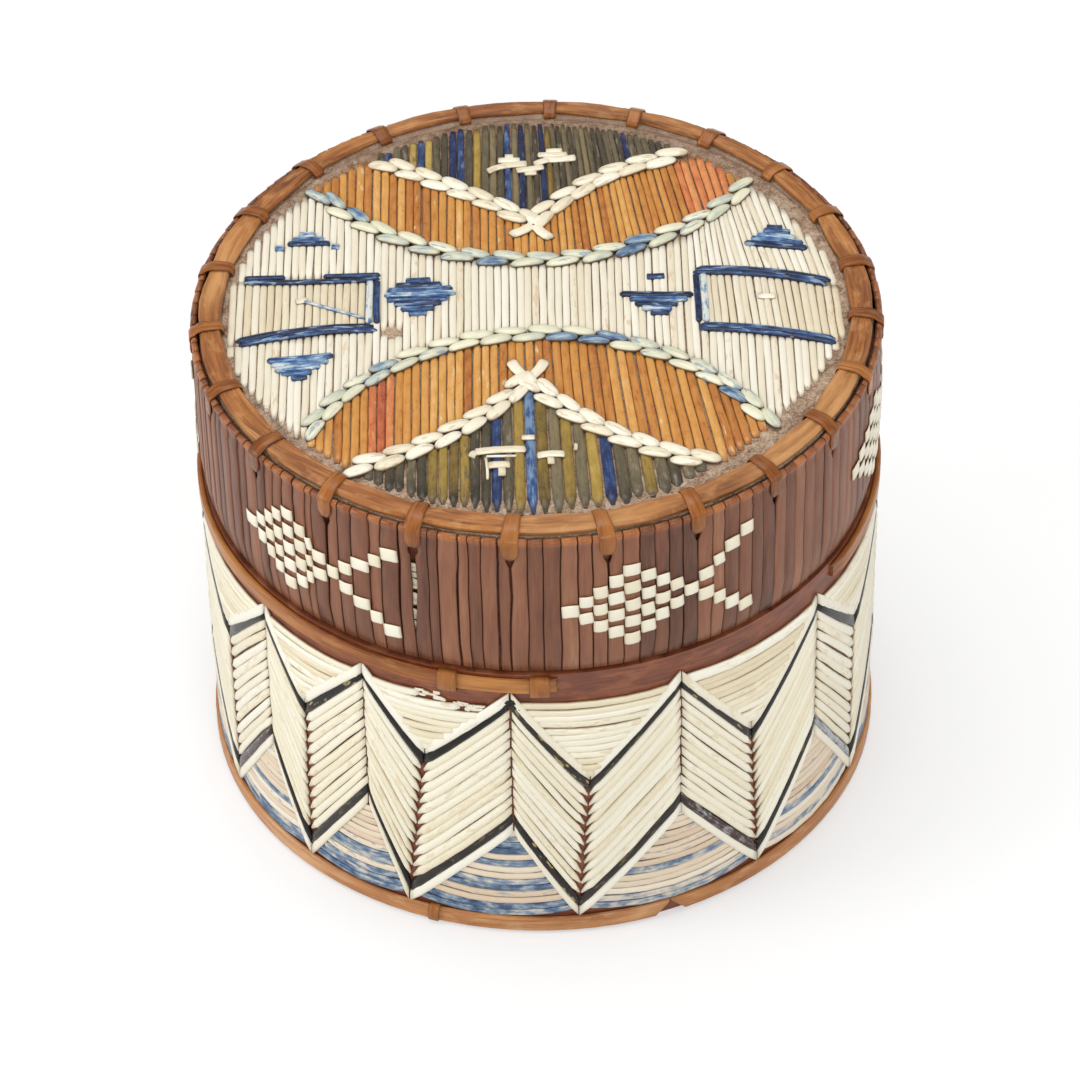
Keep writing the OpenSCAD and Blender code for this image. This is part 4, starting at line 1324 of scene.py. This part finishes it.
def v_y(v, x):
    leg = v[2] if x < v[1][0] else v[3]
    return v[1][1] + v[0] * leg_rise(leg, abs(x - v[1][0]))


# Places round the lid where the quills end short of the hoop, or with a negative depth reach nearer to it:
# azimuth and breadth in degrees, and depth
SHORT_ENDS = ((48, 24, 2.6), (128, 24, 1.8), (-42, 18, 1.0), (-128, 20, 0.6), (-90, 26, -1.4),
              (90, 16, -1.1))


def field_radius(azimuth):
    short = 0
    for place, breadth, depth in SHORT_ENDS:
        short += depth * math.exp(-((azimuth - place) / breadth) ** 2)
    return FIELD_R + 0.3 - short + 0.5 * wander(azimuth, 31, 0.12)


def edge_y(x, side):
    """Height on the lid at which a quill at x ends near the hoop, on the upper or the lower side."""
    y = side * math.sqrt(max(0, FIELD_R ** 2 - x * x))
    for step in range(3):
        radius = field_radius(math.degrees(math.atan2(x, -y)))
        y = side * math.sqrt(max(0, radius ** 2 - x * x))
    return y


def columns(pitch):
    """Columns counted from the middle of the lid, with the places where they cross it."""
    reach = int((FIELD_R + 2) / pitch)
    return [(i, i * pitch) for i in range(-reach, reach + 1)]


LEAN = 0.17
CURVED_LEAN = 0.2
CURVE_START = -8
CURVE_LENGTH = 22


def leaning(x, y):
    """Place at height y of the column through x. At the right the tops of the columns lean to the left."""
    return x - LEAN * smooth((x + 10) / 50) * y


def curving(x, y):
    """Place at height y of a column that stands upright below the middle and leans over above it."""
    t = min(1, max(0, (y - CURVE_START) / CURVE_LENGTH))
    run = CURVE_LENGTH * (t ** 3 - t ** 4 / 2) + max(0, y - CURVE_START - CURVE_LENGTH)
    return x - CURVED_LEAN * smooth((x - 27) / 24) * run


# Weaves of the fields: how the columns run, their pitch and the share of it that a quill fills
CREAM_WEAVE = (curving, CREAM_PITCH, 0.985)
WARM_WEAVE = (leaning, WARM_PITCH, 0.94)
UPPER_DARK_WEAVE = (leaning, UPPER_DARK_PITCH, 0.9)
LOWER_DARK_WEAVE = (leaning, LOWER_DARK_PITCH, 0.9)


def meet(weave, x, bound):
    """Height at which the column through x meets the line given by bound."""
    y = bound(x)
    for step in range(4):
        y = bound(weave[0](x, y))
    return y


def column_width(weave, x, y):
    path, pitch, fill = weave
    return (path(x + pitch / 2, y) - path(x - pitch / 2, y)) * fill


def lay_column(bundle, rod, weave, x, low, high, tones, stain=0.0, fade=0.0):
    """One quill of the lid between two heights, in the column that crosses the middle at x."""
    path = weave[0]
    if high - low > 1.2:
        jitter = give(0.08)
        low -= draw.uniform(0, 0.3)
        high += draw.uniform(0, 0.3)
        widths = [column_width(weave, x, y) * draw.uniform(0.96, 1.04) for y in (low, high)]
        lay_quill(bundle, rod, on_lid, (path(x, low) + jitter, low), (path(x, high) + jitter, high), widths,
                  FIELD_QUILL_H * draw.uniform(0.88, 1.0), look(*tones, stain), drift=0.16,
                  tilt=give(0.12), fade=fade)


# Rails of the frames: inner end, outer end and how far their middle rises
LEFT_RAILS = (((-31.5, 10.7), (-58.6, 10.5), -0.5), ((-31.5, -5.2), (-58.6, -9.2), 1.3))
RIGHT_RAILS = (((31.9, 10.8), (58.4, 6.2), 1.3), ((32.0, -6.7), (58.4, -12.0), 1.1))
FRAME_START = 32.4
BARE_SPOT = (-28.4, -6.3)
SPOT_REACH = 1.7


def rail_y(rail, x):
    (x0, y0), (x1, y1), rise = rail
    t = (x - x0) / (x1 - x0)
    return between(y0, y1, t) + rise * 4 * t * (1 - t)


def frame_cuts(x):
    """Heights at which the rails of the frames cross the column through x."""
    if abs(x) < FRAME_START:
        return []
    rails = LEFT_RAILS if x < 0 else RIGHT_RAILS
    return [meet(CREAM_WEAVE, x, lambda place: rail_y(rail, place)) for rail in reversed(rails)]


BRAID_TUCK = 0.5
FRAMED_TONES = (0.25, 0.65)
OPEN_TONES = (0.45, 0.95)


def lay_cream_field():
    bundle = Bundle('cream_field_quills')
    for i, x in columns(CREAM_PITCH):
        round_top = meet(CREAM_WEAVE, x, lambda place: edge_y(place, 1))
        round_low = meet(CREAM_WEAVE, x, lambda place: edge_y(place, -1))
        top = min(round_top, meet(CREAM_WEAVE, x, lambda place: arc_y(UPPER_ARC, place)) - BRAID_TUCK)
        low = max(round_low, meet(CREAM_WEAVE, x, lambda place: arc_y(LOWER_ARC, place)) + BRAID_TUCK)
        cuts = [low] + frame_cuts(x) + [top]
        beside = abs(x - BARE_SPOT[0]) / SPOT_REACH
        over_spot = beside < 1
        if over_spot:
            half = SPOT_REACH * math.sqrt(1 - beside ** 2)
            cuts[1:1] = [BARE_SPOT[1] - half, BARE_SPOT[1] + half]
        cuts = [cut for cut in cuts if low <= cut <= top]
        for first, last in zip(cuts, cuts[1:]):
            middle = (first + last) / 2
            framed = abs(x) > FRAME_START and -9 < middle < 10
            if not (over_spot and abs(middle - BARE_SPOT[1]) < 0.5):
                rod = blunt_rod if first == round_low else field_rod
                tones = FRAMED_TONES if framed else OPEN_TONES
                lay_column(bundle, rod, CREAM_WEAVE, x, first, last, tones, at_times(0.6, 0.12))
    return bundle.join('lid', cream_lid, 'quill_cream', 'cream_field_quills')


FRONT_FADE = 0.3


def is_red(side, x):
    low, high = RED_UPPER if side > 0 else RED_LOWER
    return low < x < high


def lay_between(bundle, weave, side, x, near_line, far_line, tones, stain, torn):
    """One quill from a braid out to the next braid or to the end near the hoop."""
    edge = meet(weave, x, lambda place: edge_y(place, side))
    near = side * meet(weave, x, near_line) + BRAID_TUCK
    far = side * edge
    if far_line:
        far = min(far, side * meet(weave, x, far_line) - BRAID_TUCK)
    if torn:
        far += draw.uniform(-0.7, 0.4)
    low, high = (near, far) if side > 0 else (-far, -near)
    at_front = torn and side < 0
    lay_column(bundle, torn_rod if at_front else field_rod, weave, x, low, high, tones, stain,
               FRONT_FADE if at_front else 0)


def lay_warm_fields(name, red, finish, slot):
    bundle = Bundle(name)
    for i, x in columns(WARM_PITCH):
        for arc, v in ((UPPER_ARC, UPPER_V), (LOWER_ARC, LOWER_V)):
            at_arc = leaning(x, arc_y(arc, x))
            if abs(at_arc) < ARC_REACH and is_red(arc[0], at_arc) == red:
                lay_between(bundle, WARM_WEAVE, arc[0], x, lambda place: arc_y(arc, place),
                            lambda place: v_y(v, place), (0.25, 0.85), at_times(0.8, 0.16), False)
    return bundle.join('lid', finish, slot, name)


# Columns of the dark fields that are dyed blue or ochre, counted from the middle: upper field, lower field
BLUE_COLUMNS = ((-18, -14, -10, -9, -3, -1, 2, 16), (-4, -1, 5))
OCHRE_COLUMNS = ((-15, -13, -7, 3), (-10, -9, -8, -7, -2, 0, 2, 4, 8))


def dark_dye(field, i):
    if i in BLUE_COLUMNS[field]:
        return 'blue'
    return 'ochre' if i in OCHRE_COLUMNS[field] else 'olive'


def lay_dark_fields(name, dye, finish, slot):
    bundle = Bundle(name)
    for field, (v, weave) in enumerate(((UPPER_V, UPPER_DARK_WEAVE), (LOWER_V, LOWER_DARK_WEAVE))):
        for i, x in columns(weave[1]):
            if dark_dye(field, i) == dye:
                lay_between(bundle, weave, v[0], x, lambda place: v_y(v, place), None, (0.22, 0.9),
                            at_times(0.7, 0.5), True)
    return bundle.join('lid', finish, slot, name)


lay_cream_field()
lay_warm_fields('orange_field_quills', False, orange_lid, 'quill_orange')
lay_warm_fields('red_field_quills', True, red_lid, 'quill_red')
lay_dark_fields('olive_field_quills', 'olive', olive_lid, 'quill_olive')
lay_dark_fields('ochre_field_quills', 'ochre', ochre_lid, 'quill_ochre')
lay_dark_fields('blue_field_quills', 'blue', navy_lid, 'quill_navy')

# Braids over the quill ends
MOTIF_LIFT = FIELD_QUILL_H - 0.15
STITCH_HALF = 3.3
ARC_STITCH_W = 2.45
V_STITCH_W = 2.75
BRAID_R = 57.2
V_BRAID_R = 58.6
ARC_BLUE_TONES = (0.05, 0.34)
ARC_PALE_TONES = (0.5, 0.95)
V_TONES = (0.4, 0.95)
LOOSE_TONES = (0.5, 0.9)
UPPER_BLUE = ((-44, -36), (-15, 1), (19, 26), (34, 37))
LOWER_BLUE = ((-47, -43), (-38, -21), (1, 17), (26, 43))


def lay_stitch(bundle, at, heading, side, wide, tones, stain):
    """One swollen stitch of a braid beside its line."""
    lean = math.radians(heading * (1 - STITCH_LEAN) - side * STITCH_TWIST)
    turn = math.radians(heading)
    middle = Vector(at)
    middle += Vector((math.cos(turn), math.sin(turn))) * (side * STITCH_PITCH / 4)
    middle += Vector((-math.sin(turn), math.cos(turn))) * (side * wide * 0.46)
    half = Vector((math.cos(lean), math.sin(lean))) * STITCH_HALF * draw.uniform(0.95, 1.06)
    wide *= draw.uniform(0.9, 1.08)
    height = draw.uniform(1.05, 1.2)
    lay_quill(bundle, stitch_rod, on_lid, middle - half, middle + half, (wide, wide), height,
              look(*tones, stain), lift=MOTIF_LIFT - 0.15, bow=side * draw.uniform(-0.1, 0.35))


def lay_arc_braid(name, arc, blue_runs):
    """Plait along an arc, with runs of stitches dyed blue."""
    bundle = Bundle(name)
    radius = arc_radius(arc)
    reach = math.degrees(math.asin(ARC_REACH / radius))
    count = int(arc_length(reach, radius) / STITCH_PITCH)
    for i in range(-count, count + 1):
        turn = math.radians(reach * i / count)
        at = (radius * math.sin(turn), arc[0] * (arc[1] + radius * (1 - math.cos(turn))))
        in_run = any(low < at[0] < high for low, high in blue_runs)
        if math.hypot(*at) < BRAID_R:
            for side in (-1, 1):
                blue = in_run and draw.random() < 0.6
                tones = ARC_BLUE_TONES if blue else ARC_PALE_TONES
                lay_stitch(bundle, at, arc[0] * math.degrees(turn), side, ARC_STITCH_W, tones,
                           at_times(0.7, 0.3))
    return bundle.join('lid', braid_pale, 'quill_braid', name)


def lay_v_braid(name, v):
    """Two plaits that meet at the apex, with two loose ends beyond it."""
    bundle = Bundle(name)
    for leg_side, leg in ((-1, v[2]), (1, v[3])):
        for i in range(int(FIELD_R / STITCH_PITCH)):
            turn = math.radians(leg[0]) - (FIRST_STITCH + i * STITCH_PITCH) / leg[1]
            dx = leg[1] * (math.sin(math.radians(leg[0])) - math.sin(turn))
            at = (v[1][0] + leg_side * dx, v[1][1] + v[0] * leg_rise(leg, dx))
            if math.hypot(*at) < V_BRAID_R:
                way = leg_side * v[0] * math.degrees(turn)
                for side in (-1, 1):
                    lay_stitch(bundle, at, way, side, V_STITCH_W, V_TONES, 0.5)
        tail = Vector((leg_side * math.cos(math.radians(leg[0])), -v[0] * math.sin(math.radians(leg[0]))))
        apex = Vector(v[1])
        lay_quill(bundle, field_rod, on_lid, apex - tail * 1.5, apex + tail * 6.2, (2.0, 2.5), 0.85,
                  look(*LOOSE_TONES), lift=MOTIF_LIFT, bow=0.6 * leg_side)
        lay_quill(bundle, stitch_rod, on_lid, apex - tail * 2.6, apex + tail * 1.6, (2.2, 2.2), 1.1,
                  look(*LOOSE_TONES), lift=MOTIF_LIFT)
    return bundle.join('lid', braid_white, 'quill_white', name)


lay_arc_braid('upper_arc_braid', UPPER_ARC, UPPER_BLUE)
lay_arc_braid('lower_arc_braid', LOWER_ARC, LOWER_BLUE)
lay_v_braid('upper_v_braid', UPPER_V)
lay_v_braid('lower_v_braid', LOWER_V)


# Motifs on the lid
def lay_stroke(bundle, start, end, tones, wide=STROKE_W, bow=0.0, stain=0.0, height=0.55):
    lay_quill(bundle, long_rod, on_lid, start, end, (wide, wide), height, look(*tones, stain),
              lift=MOTIF_LIFT, bow=bow, drift=0.15, tilt=give(0.2))


RAIL_STRANDS = (-0.55, 0.6)
RAIL_W = 1.5
RAIL_TONES = (0.12, 0.45)
BROKEN_TONES = (0.12, 0.5)
BREAK_START = 0.42
BREAK_END = 0.7
UPRIGHT_W = 1.3
UPRIGHT_TONES = (0.1, 0.45)
PALE_UPRIGHT_W = 1.4
PALE_UPRIGHT_TONES = (0.93, 1)
PALE_UPRIGHT_SHIFT = 1.45
LOOSE_STRAND = ((-46.1, 3.6), (-33.8, -2.1))
LOOSE_STRAND_W = 0.8


def lay_frames():
    """Open frames: rails of two strands, and an upright with a pale quill beside it."""
    bundle = Bundle('blue_frame_quills')
    for rails, pale_side in ((LEFT_RAILS, -1), (RIGHT_RAILS, 1)):
        for number, rail in enumerate(rails):
            start = Vector(rail[0])
            end = Vector(rail[1])
            bow = -pale_side * rail[2]
            for strand in RAIL_STRANDS:
                shift = Vector((give(0.8), strand))
                if rails is LEFT_RAILS and number == 0 and strand > 0:
                    lay_stroke(bundle, start + shift, start.lerp(end, BREAK_START) + shift, BROKEN_TONES)
                    lay_stroke(bundle, start.lerp(end, BREAK_END) + shift, end + shift, BROKEN_TONES)
                else:
                    lay_stroke(bundle, start + shift, end + shift, RAIL_TONES, RAIL_W, bow, 0.6)
        upper = Vector(rails[0][0])
        lower = Vector(rails[1][0])
        foot = lower + Vector((0, 1.4))
        head = upper - Vector((0, 1.0))
        lay_stroke(bundle, foot, head, UPRIGHT_TONES, UPRIGHT_W)
        shift = Vector((pale_side * PALE_UPRIGHT_SHIFT, 0))
        lay_stroke(bundle, foot + shift, head + shift, PALE_UPRIGHT_TONES, PALE_UPRIGHT_W)
    lay_stroke(bundle, *LOOSE_STRAND, (0.86, 0.92), LOOSE_STRAND_W)
    return bundle.join('lid', motif_blue, 'quill_navy', 'blue_frame_quills')


lay_frames()


# Stepped motifs: middle and foot, slope, then the width and the tone of each stroke from the foot up
STEP_W = 1.65
FIGURE_FILL = 0.94
FIGURE_H = 0.48
NAVY = 0.22
MID_BLUE = 0.5
PALE_BLUE = 0.78
PYRAMIDS = (
    ((-45.6, 21.6), 0.0, ((7.6, NAVY), (5.4, MID_BLUE), (2.2, PALE_BLUE))),
    ((-51.4, 20.3), 0.0, ((0.8, PALE_BLUE),)),
    ((-40.2, 20.5), 0.0, ((0.6, PALE_BLUE),)),
    ((-46.6, -19.8), 0.1, ((2.2, MID_BLUE), (5, MID_BLUE), (8, PALE_BLUE), (10.2, PALE_BLUE),
                           (12, MID_BLUE))),
    ((48.4, 18.2), -0.17, ((11.6, NAVY), (9.4, MID_BLUE), (6.8, PALE_BLUE), (4.4, MID_BLUE), (2.2, NAVY))),
)
DIAMONDS = (
    ((-23.2, -0.8), 0.03, ((2.6, MID_BLUE), (5.6, MID_BLUE), (8.4, NAVY), (11, MID_BLUE), (13.2, PALE_BLUE),
                           (12, MID_BLUE), (8.2, NAVY), (4, MID_BLUE))),
    ((24.1, -2.2), -0.05, ((2.6, NAVY), (5, PALE_BLUE), (7.6, NAVY), (10.6, PALE_BLUE), (13.6, NAVY))),
    ((24.0, 9.1), 0.0, ((2.6, NAVY),)),
)
# White strokes: start, end, width and sag
FIGURES = (
    ((-5.8, 48.9), (-4.0, 48.9), 1.6, 0), ((-7.2, 47.5), (-2.6, 47.5), 1.9, -0.1),
    ((-9.3, 43.9), (-5.6, 45.7), 1.9, -0.4), ((-6.6, 45.8), (-1.2, 46.3), 2.1, -0.1),
    ((-3.5, 44.2), (2.2, 45.3), 2.0, 0.2), ((-1.8, 43.2), (0.7, 43.3), 1.5, 0),
    ((2.6, 50.4), (6.1, 50.5), 1.5, -0.1), ((0.9, 49.1), (7.1, 49.3), 1.8, 0),
    ((0.2, 46.0), (3.2, 47.4), 1.9, -0.3), ((2.0, 47.5), (8.8, 48.1), 2.1, 0.1),
    ((-12.4, -43.0), (-2.4, -42.4), 2.2, -0.3), ((-12.8, -44.6), (-11.9, -43.0), 1.6, -0.3),
    ((-10.2, -44.4), (-4.2, -44.4), 0.6, 0), ((-9.9, -51.0), (-10.3, -44.6), 0.6, 0.1),
    ((-9.8, -47.0), (-5.5, -46.9), 2.0, -0.2), ((-7.2, -50.0), (-7.2, -47.6), 1.6, 0.1),
    ((-3.3, -39.0), (-0.7, -39.0), 1.5, 0), ((-0.4, -44.4), (5.0, -44.1), 2.1, -0.3),
    ((2.3, -46.9), (2.3, -45.0), 1.5, 0), ((7.0, -43.0), (7.2, -41.2), 0.8, 0),
    ((43.9, 2.5), (47.5, 2.3), 1.8, 0.1), ((-47.6, 3.3), (-45.4, 4.1), 1.7, 0.2),
)


def lay_stepped(name, motifs):
    """Motifs of strokes one above the other, each with its own width and tone."""
    bundle = Bundle(name)
    for foot, slope, strokes in motifs:
        for i, (width, tone) in enumerate(strokes):
            middle = Vector((foot[0] + give(0.35), foot[1] + i * STROKE_PITCH))
            reach = width / 2 + 0.5
            half = Vector((reach, reach * slope + give(0.1)))
            tones = (tone - 0.1, tone + 0.1)
            lay_stroke(bundle, middle - half, middle + half, tones, STEP_W, give(0.15), 0.5)
    return bundle.join('lid', motif_blue, 'quill_navy', name)


def lay_figures():
    bundle = Bundle('white_figure_quills')
    for start, end, wide, bow in FIGURES:
        lay_stroke(bundle, start, end, (0.35, 0.85), wide * FIGURE_FILL, bow, 0.5, FIGURE_H)
    return bundle.join('lid', braid_white, 'quill_white', 'white_figure_quills')


lay_stepped('blue_pyramid_quills', PYRAMIDS)
lay_stepped('blue_diamond_quills', DIAMONDS)
lay_figures()


# Felted bark and loose fibres round the edge of the lid's field
FELT_IN_R = 52.5
FELT_R = 62.2
FELT_T = 0.4
FELT_STEPS = (300, 11)
SPOT_R = 2.1
FIBRE_COUNT = 700
FIBRE_R = 61.9
FIBRE_W = (0.13, 0.1)
FIBRE_H = 0.14


def seat_on_lid(piece, name):
    piece.name = name
    bpy.ops.object.shade_smooth()
    piece.data.materials.append(lid_bark)
    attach(piece, 'lid')
    return piece


def lay_felt():
    """Rough ring of bark between the quill ends and the hoop."""
    bpy.ops.object.select_all(action='DESELECT')
    bpy.ops.mesh.primitive_grid_add(x_subdivisions=FELT_STEPS[0], y_subdivisions=FELT_STEPS[1], size=1)
    felt = bpy.context.active_object
    for corner in felt.data.vertices:
        turn = math.radians(corner.co.x * 360)
        r = between(FELT_IN_R, FELT_R, corner.co.y + 0.5)
        spot = Vector((r * math.sin(turn), -r * math.cos(turn), 0))
        rise = 0.16 + 0.3 * noise.fractal(spot * 0.9, 1.0, 2.0, 4)
        corner.co = (spot.x * MM, spot.y * MM, (FIELD_Z + max(0.03, rise)) * MM)
    bpy.ops.object.mode_set(mode='EDIT')
    bpy.ops.mesh.select_all(action='SELECT')
    bpy.ops.mesh.remove_doubles(threshold=0.00001)
    bpy.ops.mesh.normals_make_consistent(inside=False)
    bpy.ops.object.mode_set(mode='OBJECT')
    wall = felt.modifiers.new('thickness', 'SOLIDIFY')
    wall.thickness = FELT_T * MM
    wall.offset = -1
    bpy.ops.object.modifier_apply(modifier=wall.name)
    return seat_on_lid(felt, 'lid_felt')


def lay_bare_spot():
    """Patch of bark where a few quills of the lid are lost."""
    bpy.ops.object.select_all(action='DESELECT')
    place = (BARE_SPOT[0] * MM, BARE_SPOT[1] * MM, (FIELD_Z + 0.3) * MM)
    bpy.ops.mesh.primitive_ico_sphere_add(subdivisions=4, radius=SPOT_R * MM, location=place)
    spot = bpy.context.active_object
    spot.scale = (1, 1, 0.13)
    bpy.ops.object.transform_apply(location=True, rotation=True, scale=True)
    for corner in spot.data.vertices:
        corner.co.z += 0.12 * MM * noise.noise(corner.co * 1500)
    return seat_on_lid(spot, 'bare_bark')


def lay_fibres():
    bundle = Bundle('bark_fibres')
    for i in range(FIBRE_COUNT):
        azimuth = give(180)
        r = draw.uniform(field_radius(azimuth) - 0.2, FIBRE_R - 0.1)
        heading = draw.uniform(0, 2 * math.pi)
        length = draw.uniform(0.6, 2.2)
        turn = math.radians(azimuth)
        start = Vector((r * math.sin(turn), -r * math.cos(turn)))
        end = start + Vector((math.cos(heading), math.sin(heading))) * length
        if end.length < FIBRE_R:
            lay_quill(bundle, fibre_rod, on_lid, start, end, FIBRE_W, FIBRE_H, look(0.2, 1),
                      lift=draw.uniform(0.2, 0.6), bow=give(0.3))
    return bundle.join('lid', lid_bark, 'bark_fuzzy')


lay_felt()
lay_bare_spot()
lay_fibres()
for rod in RODS:
    bpy.data.objects.remove(rod)

# Finishes of the bark that keeps its shape
for node, finish in (('body_wall', wall_bark), ('wall_backing', lining_bark), ('neck_liner', lining_bark),
                     ('base_disc', lining_bark), ('lid_disc', lid_bark), ('lid_disc_lining', lining_bark),
                     ('lid_ring', wall_bark), ('lid_ring_lining', lining_bark)):
    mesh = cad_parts[node].data
    mesh.materials.clear()
    mesh.materials.append(finish)


# Floor, light and camera
FLOOR_SIZE = 6
FLOOR_Z = -0.0002
FLOOR_COLOUR = (0.52, 0.52, 0.52, 1)
FLOOR_GLOW_COLOUR = (0.97, 0.97, 0.97, 1)
FLOOR_GLOW = 0.45


def floor_finish():
    """Pale floor that shows as white to the camera and keeps the shadow of the box."""
    finish = Finish('floor', 0.9, 0.0)
    finish.paint(FLOOR_COLOUR)
    rays = finish.add('ShaderNodeLightPath').outputs
    seen = finish.math('MAXIMUM', rays['Is Camera Ray'], rays['Is Glossy Ray'])
    seen = finish.math('MAXIMUM', seen, rays['Is Transmission Ray'])
    strength = finish.times(seen, FLOOR_GLOW)
    glow = finish.add('ShaderNodeEmission', {'Color': FLOOR_GLOW_COLOUR, 'Strength': strength})
    total = finish.add('ShaderNodeAddShader', {0: finish.shader.outputs[0], 1: glow.outputs[0]})
    finish.feed(finish.tree.nodes['Material Output'].inputs['Surface'], total.outputs[0])
    return finish.material


bpy.ops.object.select_all(action='DESELECT')
bpy.ops.mesh.primitive_plane_add(size=FLOOR_SIZE, location=(0, 0, FLOOR_Z))
floor = bpy.context.active_object
floor.name = 'floor'
floor.data.materials.append(floor_finish())


LAMP_TARGET = Vector((0, 0, 0.05))
# Round soft lamps: name, size, power and place
LAMPS = (
    ('top_softbox', 1.2, 11.6, (-0.15, 0.2, 1.5)),
    ('front_softbox', 0.9, 11.5, (0.3, -1.5, 0.8)),
    ('left_softbox', 0.9, 12, (-1.5, -0.3, 0.6)),
    ('right_softbox', 0.9, 4, (1.5, -0.3, 0.6)),
)
SKY_LIGHT = 0.45
SKY_SEEN = 1.0


def add_lamp(name, size, power, place):
    lamp_data = bpy.data.lights.new(name, 'AREA')
    lamp_data.shape = 'DISK'
    lamp_data.size = size
    lamp_data.energy = power
    lamp = bpy.data.objects.new(name, lamp_data)
    bpy.context.collection.objects.link(lamp)
    lamp.location = place
    lamp.rotation_euler = (LAMP_TARGET - Vector(place)).to_track_quat('-Z', 'Y').to_euler()


def add_sky():
    """White sky that lights the box less than the camera sees of it."""
    world = bpy.data.worlds.new('studio')
    bpy.context.scene.world = world
    world.use_nodes = True
    sky = Nodes(world.node_tree)
    rays = sky.add('ShaderNodeLightPath').outputs
    seen = sky.math('MAXIMUM', rays['Is Camera Ray'], rays['Is Transmission Ray'])
    backdrop = world.node_tree.nodes['Background']
    sky.feed(backdrop.inputs['Color'], (1, 1, 1, 1))
    sky.feed(backdrop.inputs['Strength'], sky.limit(seen, 0, 1, SKY_LIGHT, SKY_SEEN))


LENS = 168.63
SENSOR_W = 36
FAR_CLIP = 50
ELEVATION = math.radians(42.10)
ROLL = math.radians(-1.152)
DISTANCE = 1.0408
CAMERA_TARGET = Vector((-0.00014, 0, 0.04413))


def add_camera():
    """Camera that looks down at the front of the box, rolled a little to one side."""
    camera_data = bpy.data.cameras.new('camera')
    camera_data.lens = LENS
    camera_data.sensor_width = SENSOR_W
    camera_data.clip_end = FAR_CLIP
    camera = bpy.data.objects.new('camera', camera_data)
    bpy.context.collection.objects.link(camera)
    forward = Vector((0, math.cos(ELEVATION), -math.sin(ELEVATION)))
    right = Vector((1, 0, 0))
    up = Vector((0, math.sin(ELEVATION), math.cos(ELEVATION)))
    side_axis = right * math.cos(ROLL) + up * math.sin(ROLL)
    up_axis = up * math.cos(ROLL) - right * math.sin(ROLL)
    turned = Matrix((side_axis, up_axis, -forward)).transposed().to_4x4()
    camera.matrix_world = Matrix.Translation(CAMERA_TARGET - forward * DISTANCE) @ turned
    bpy.context.scene.camera = camera


for lamp in LAMPS:
    add_lamp(*lamp)
add_sky()
add_camera()
bpy.context.scene.view_settings.view_transform = 'Standard'
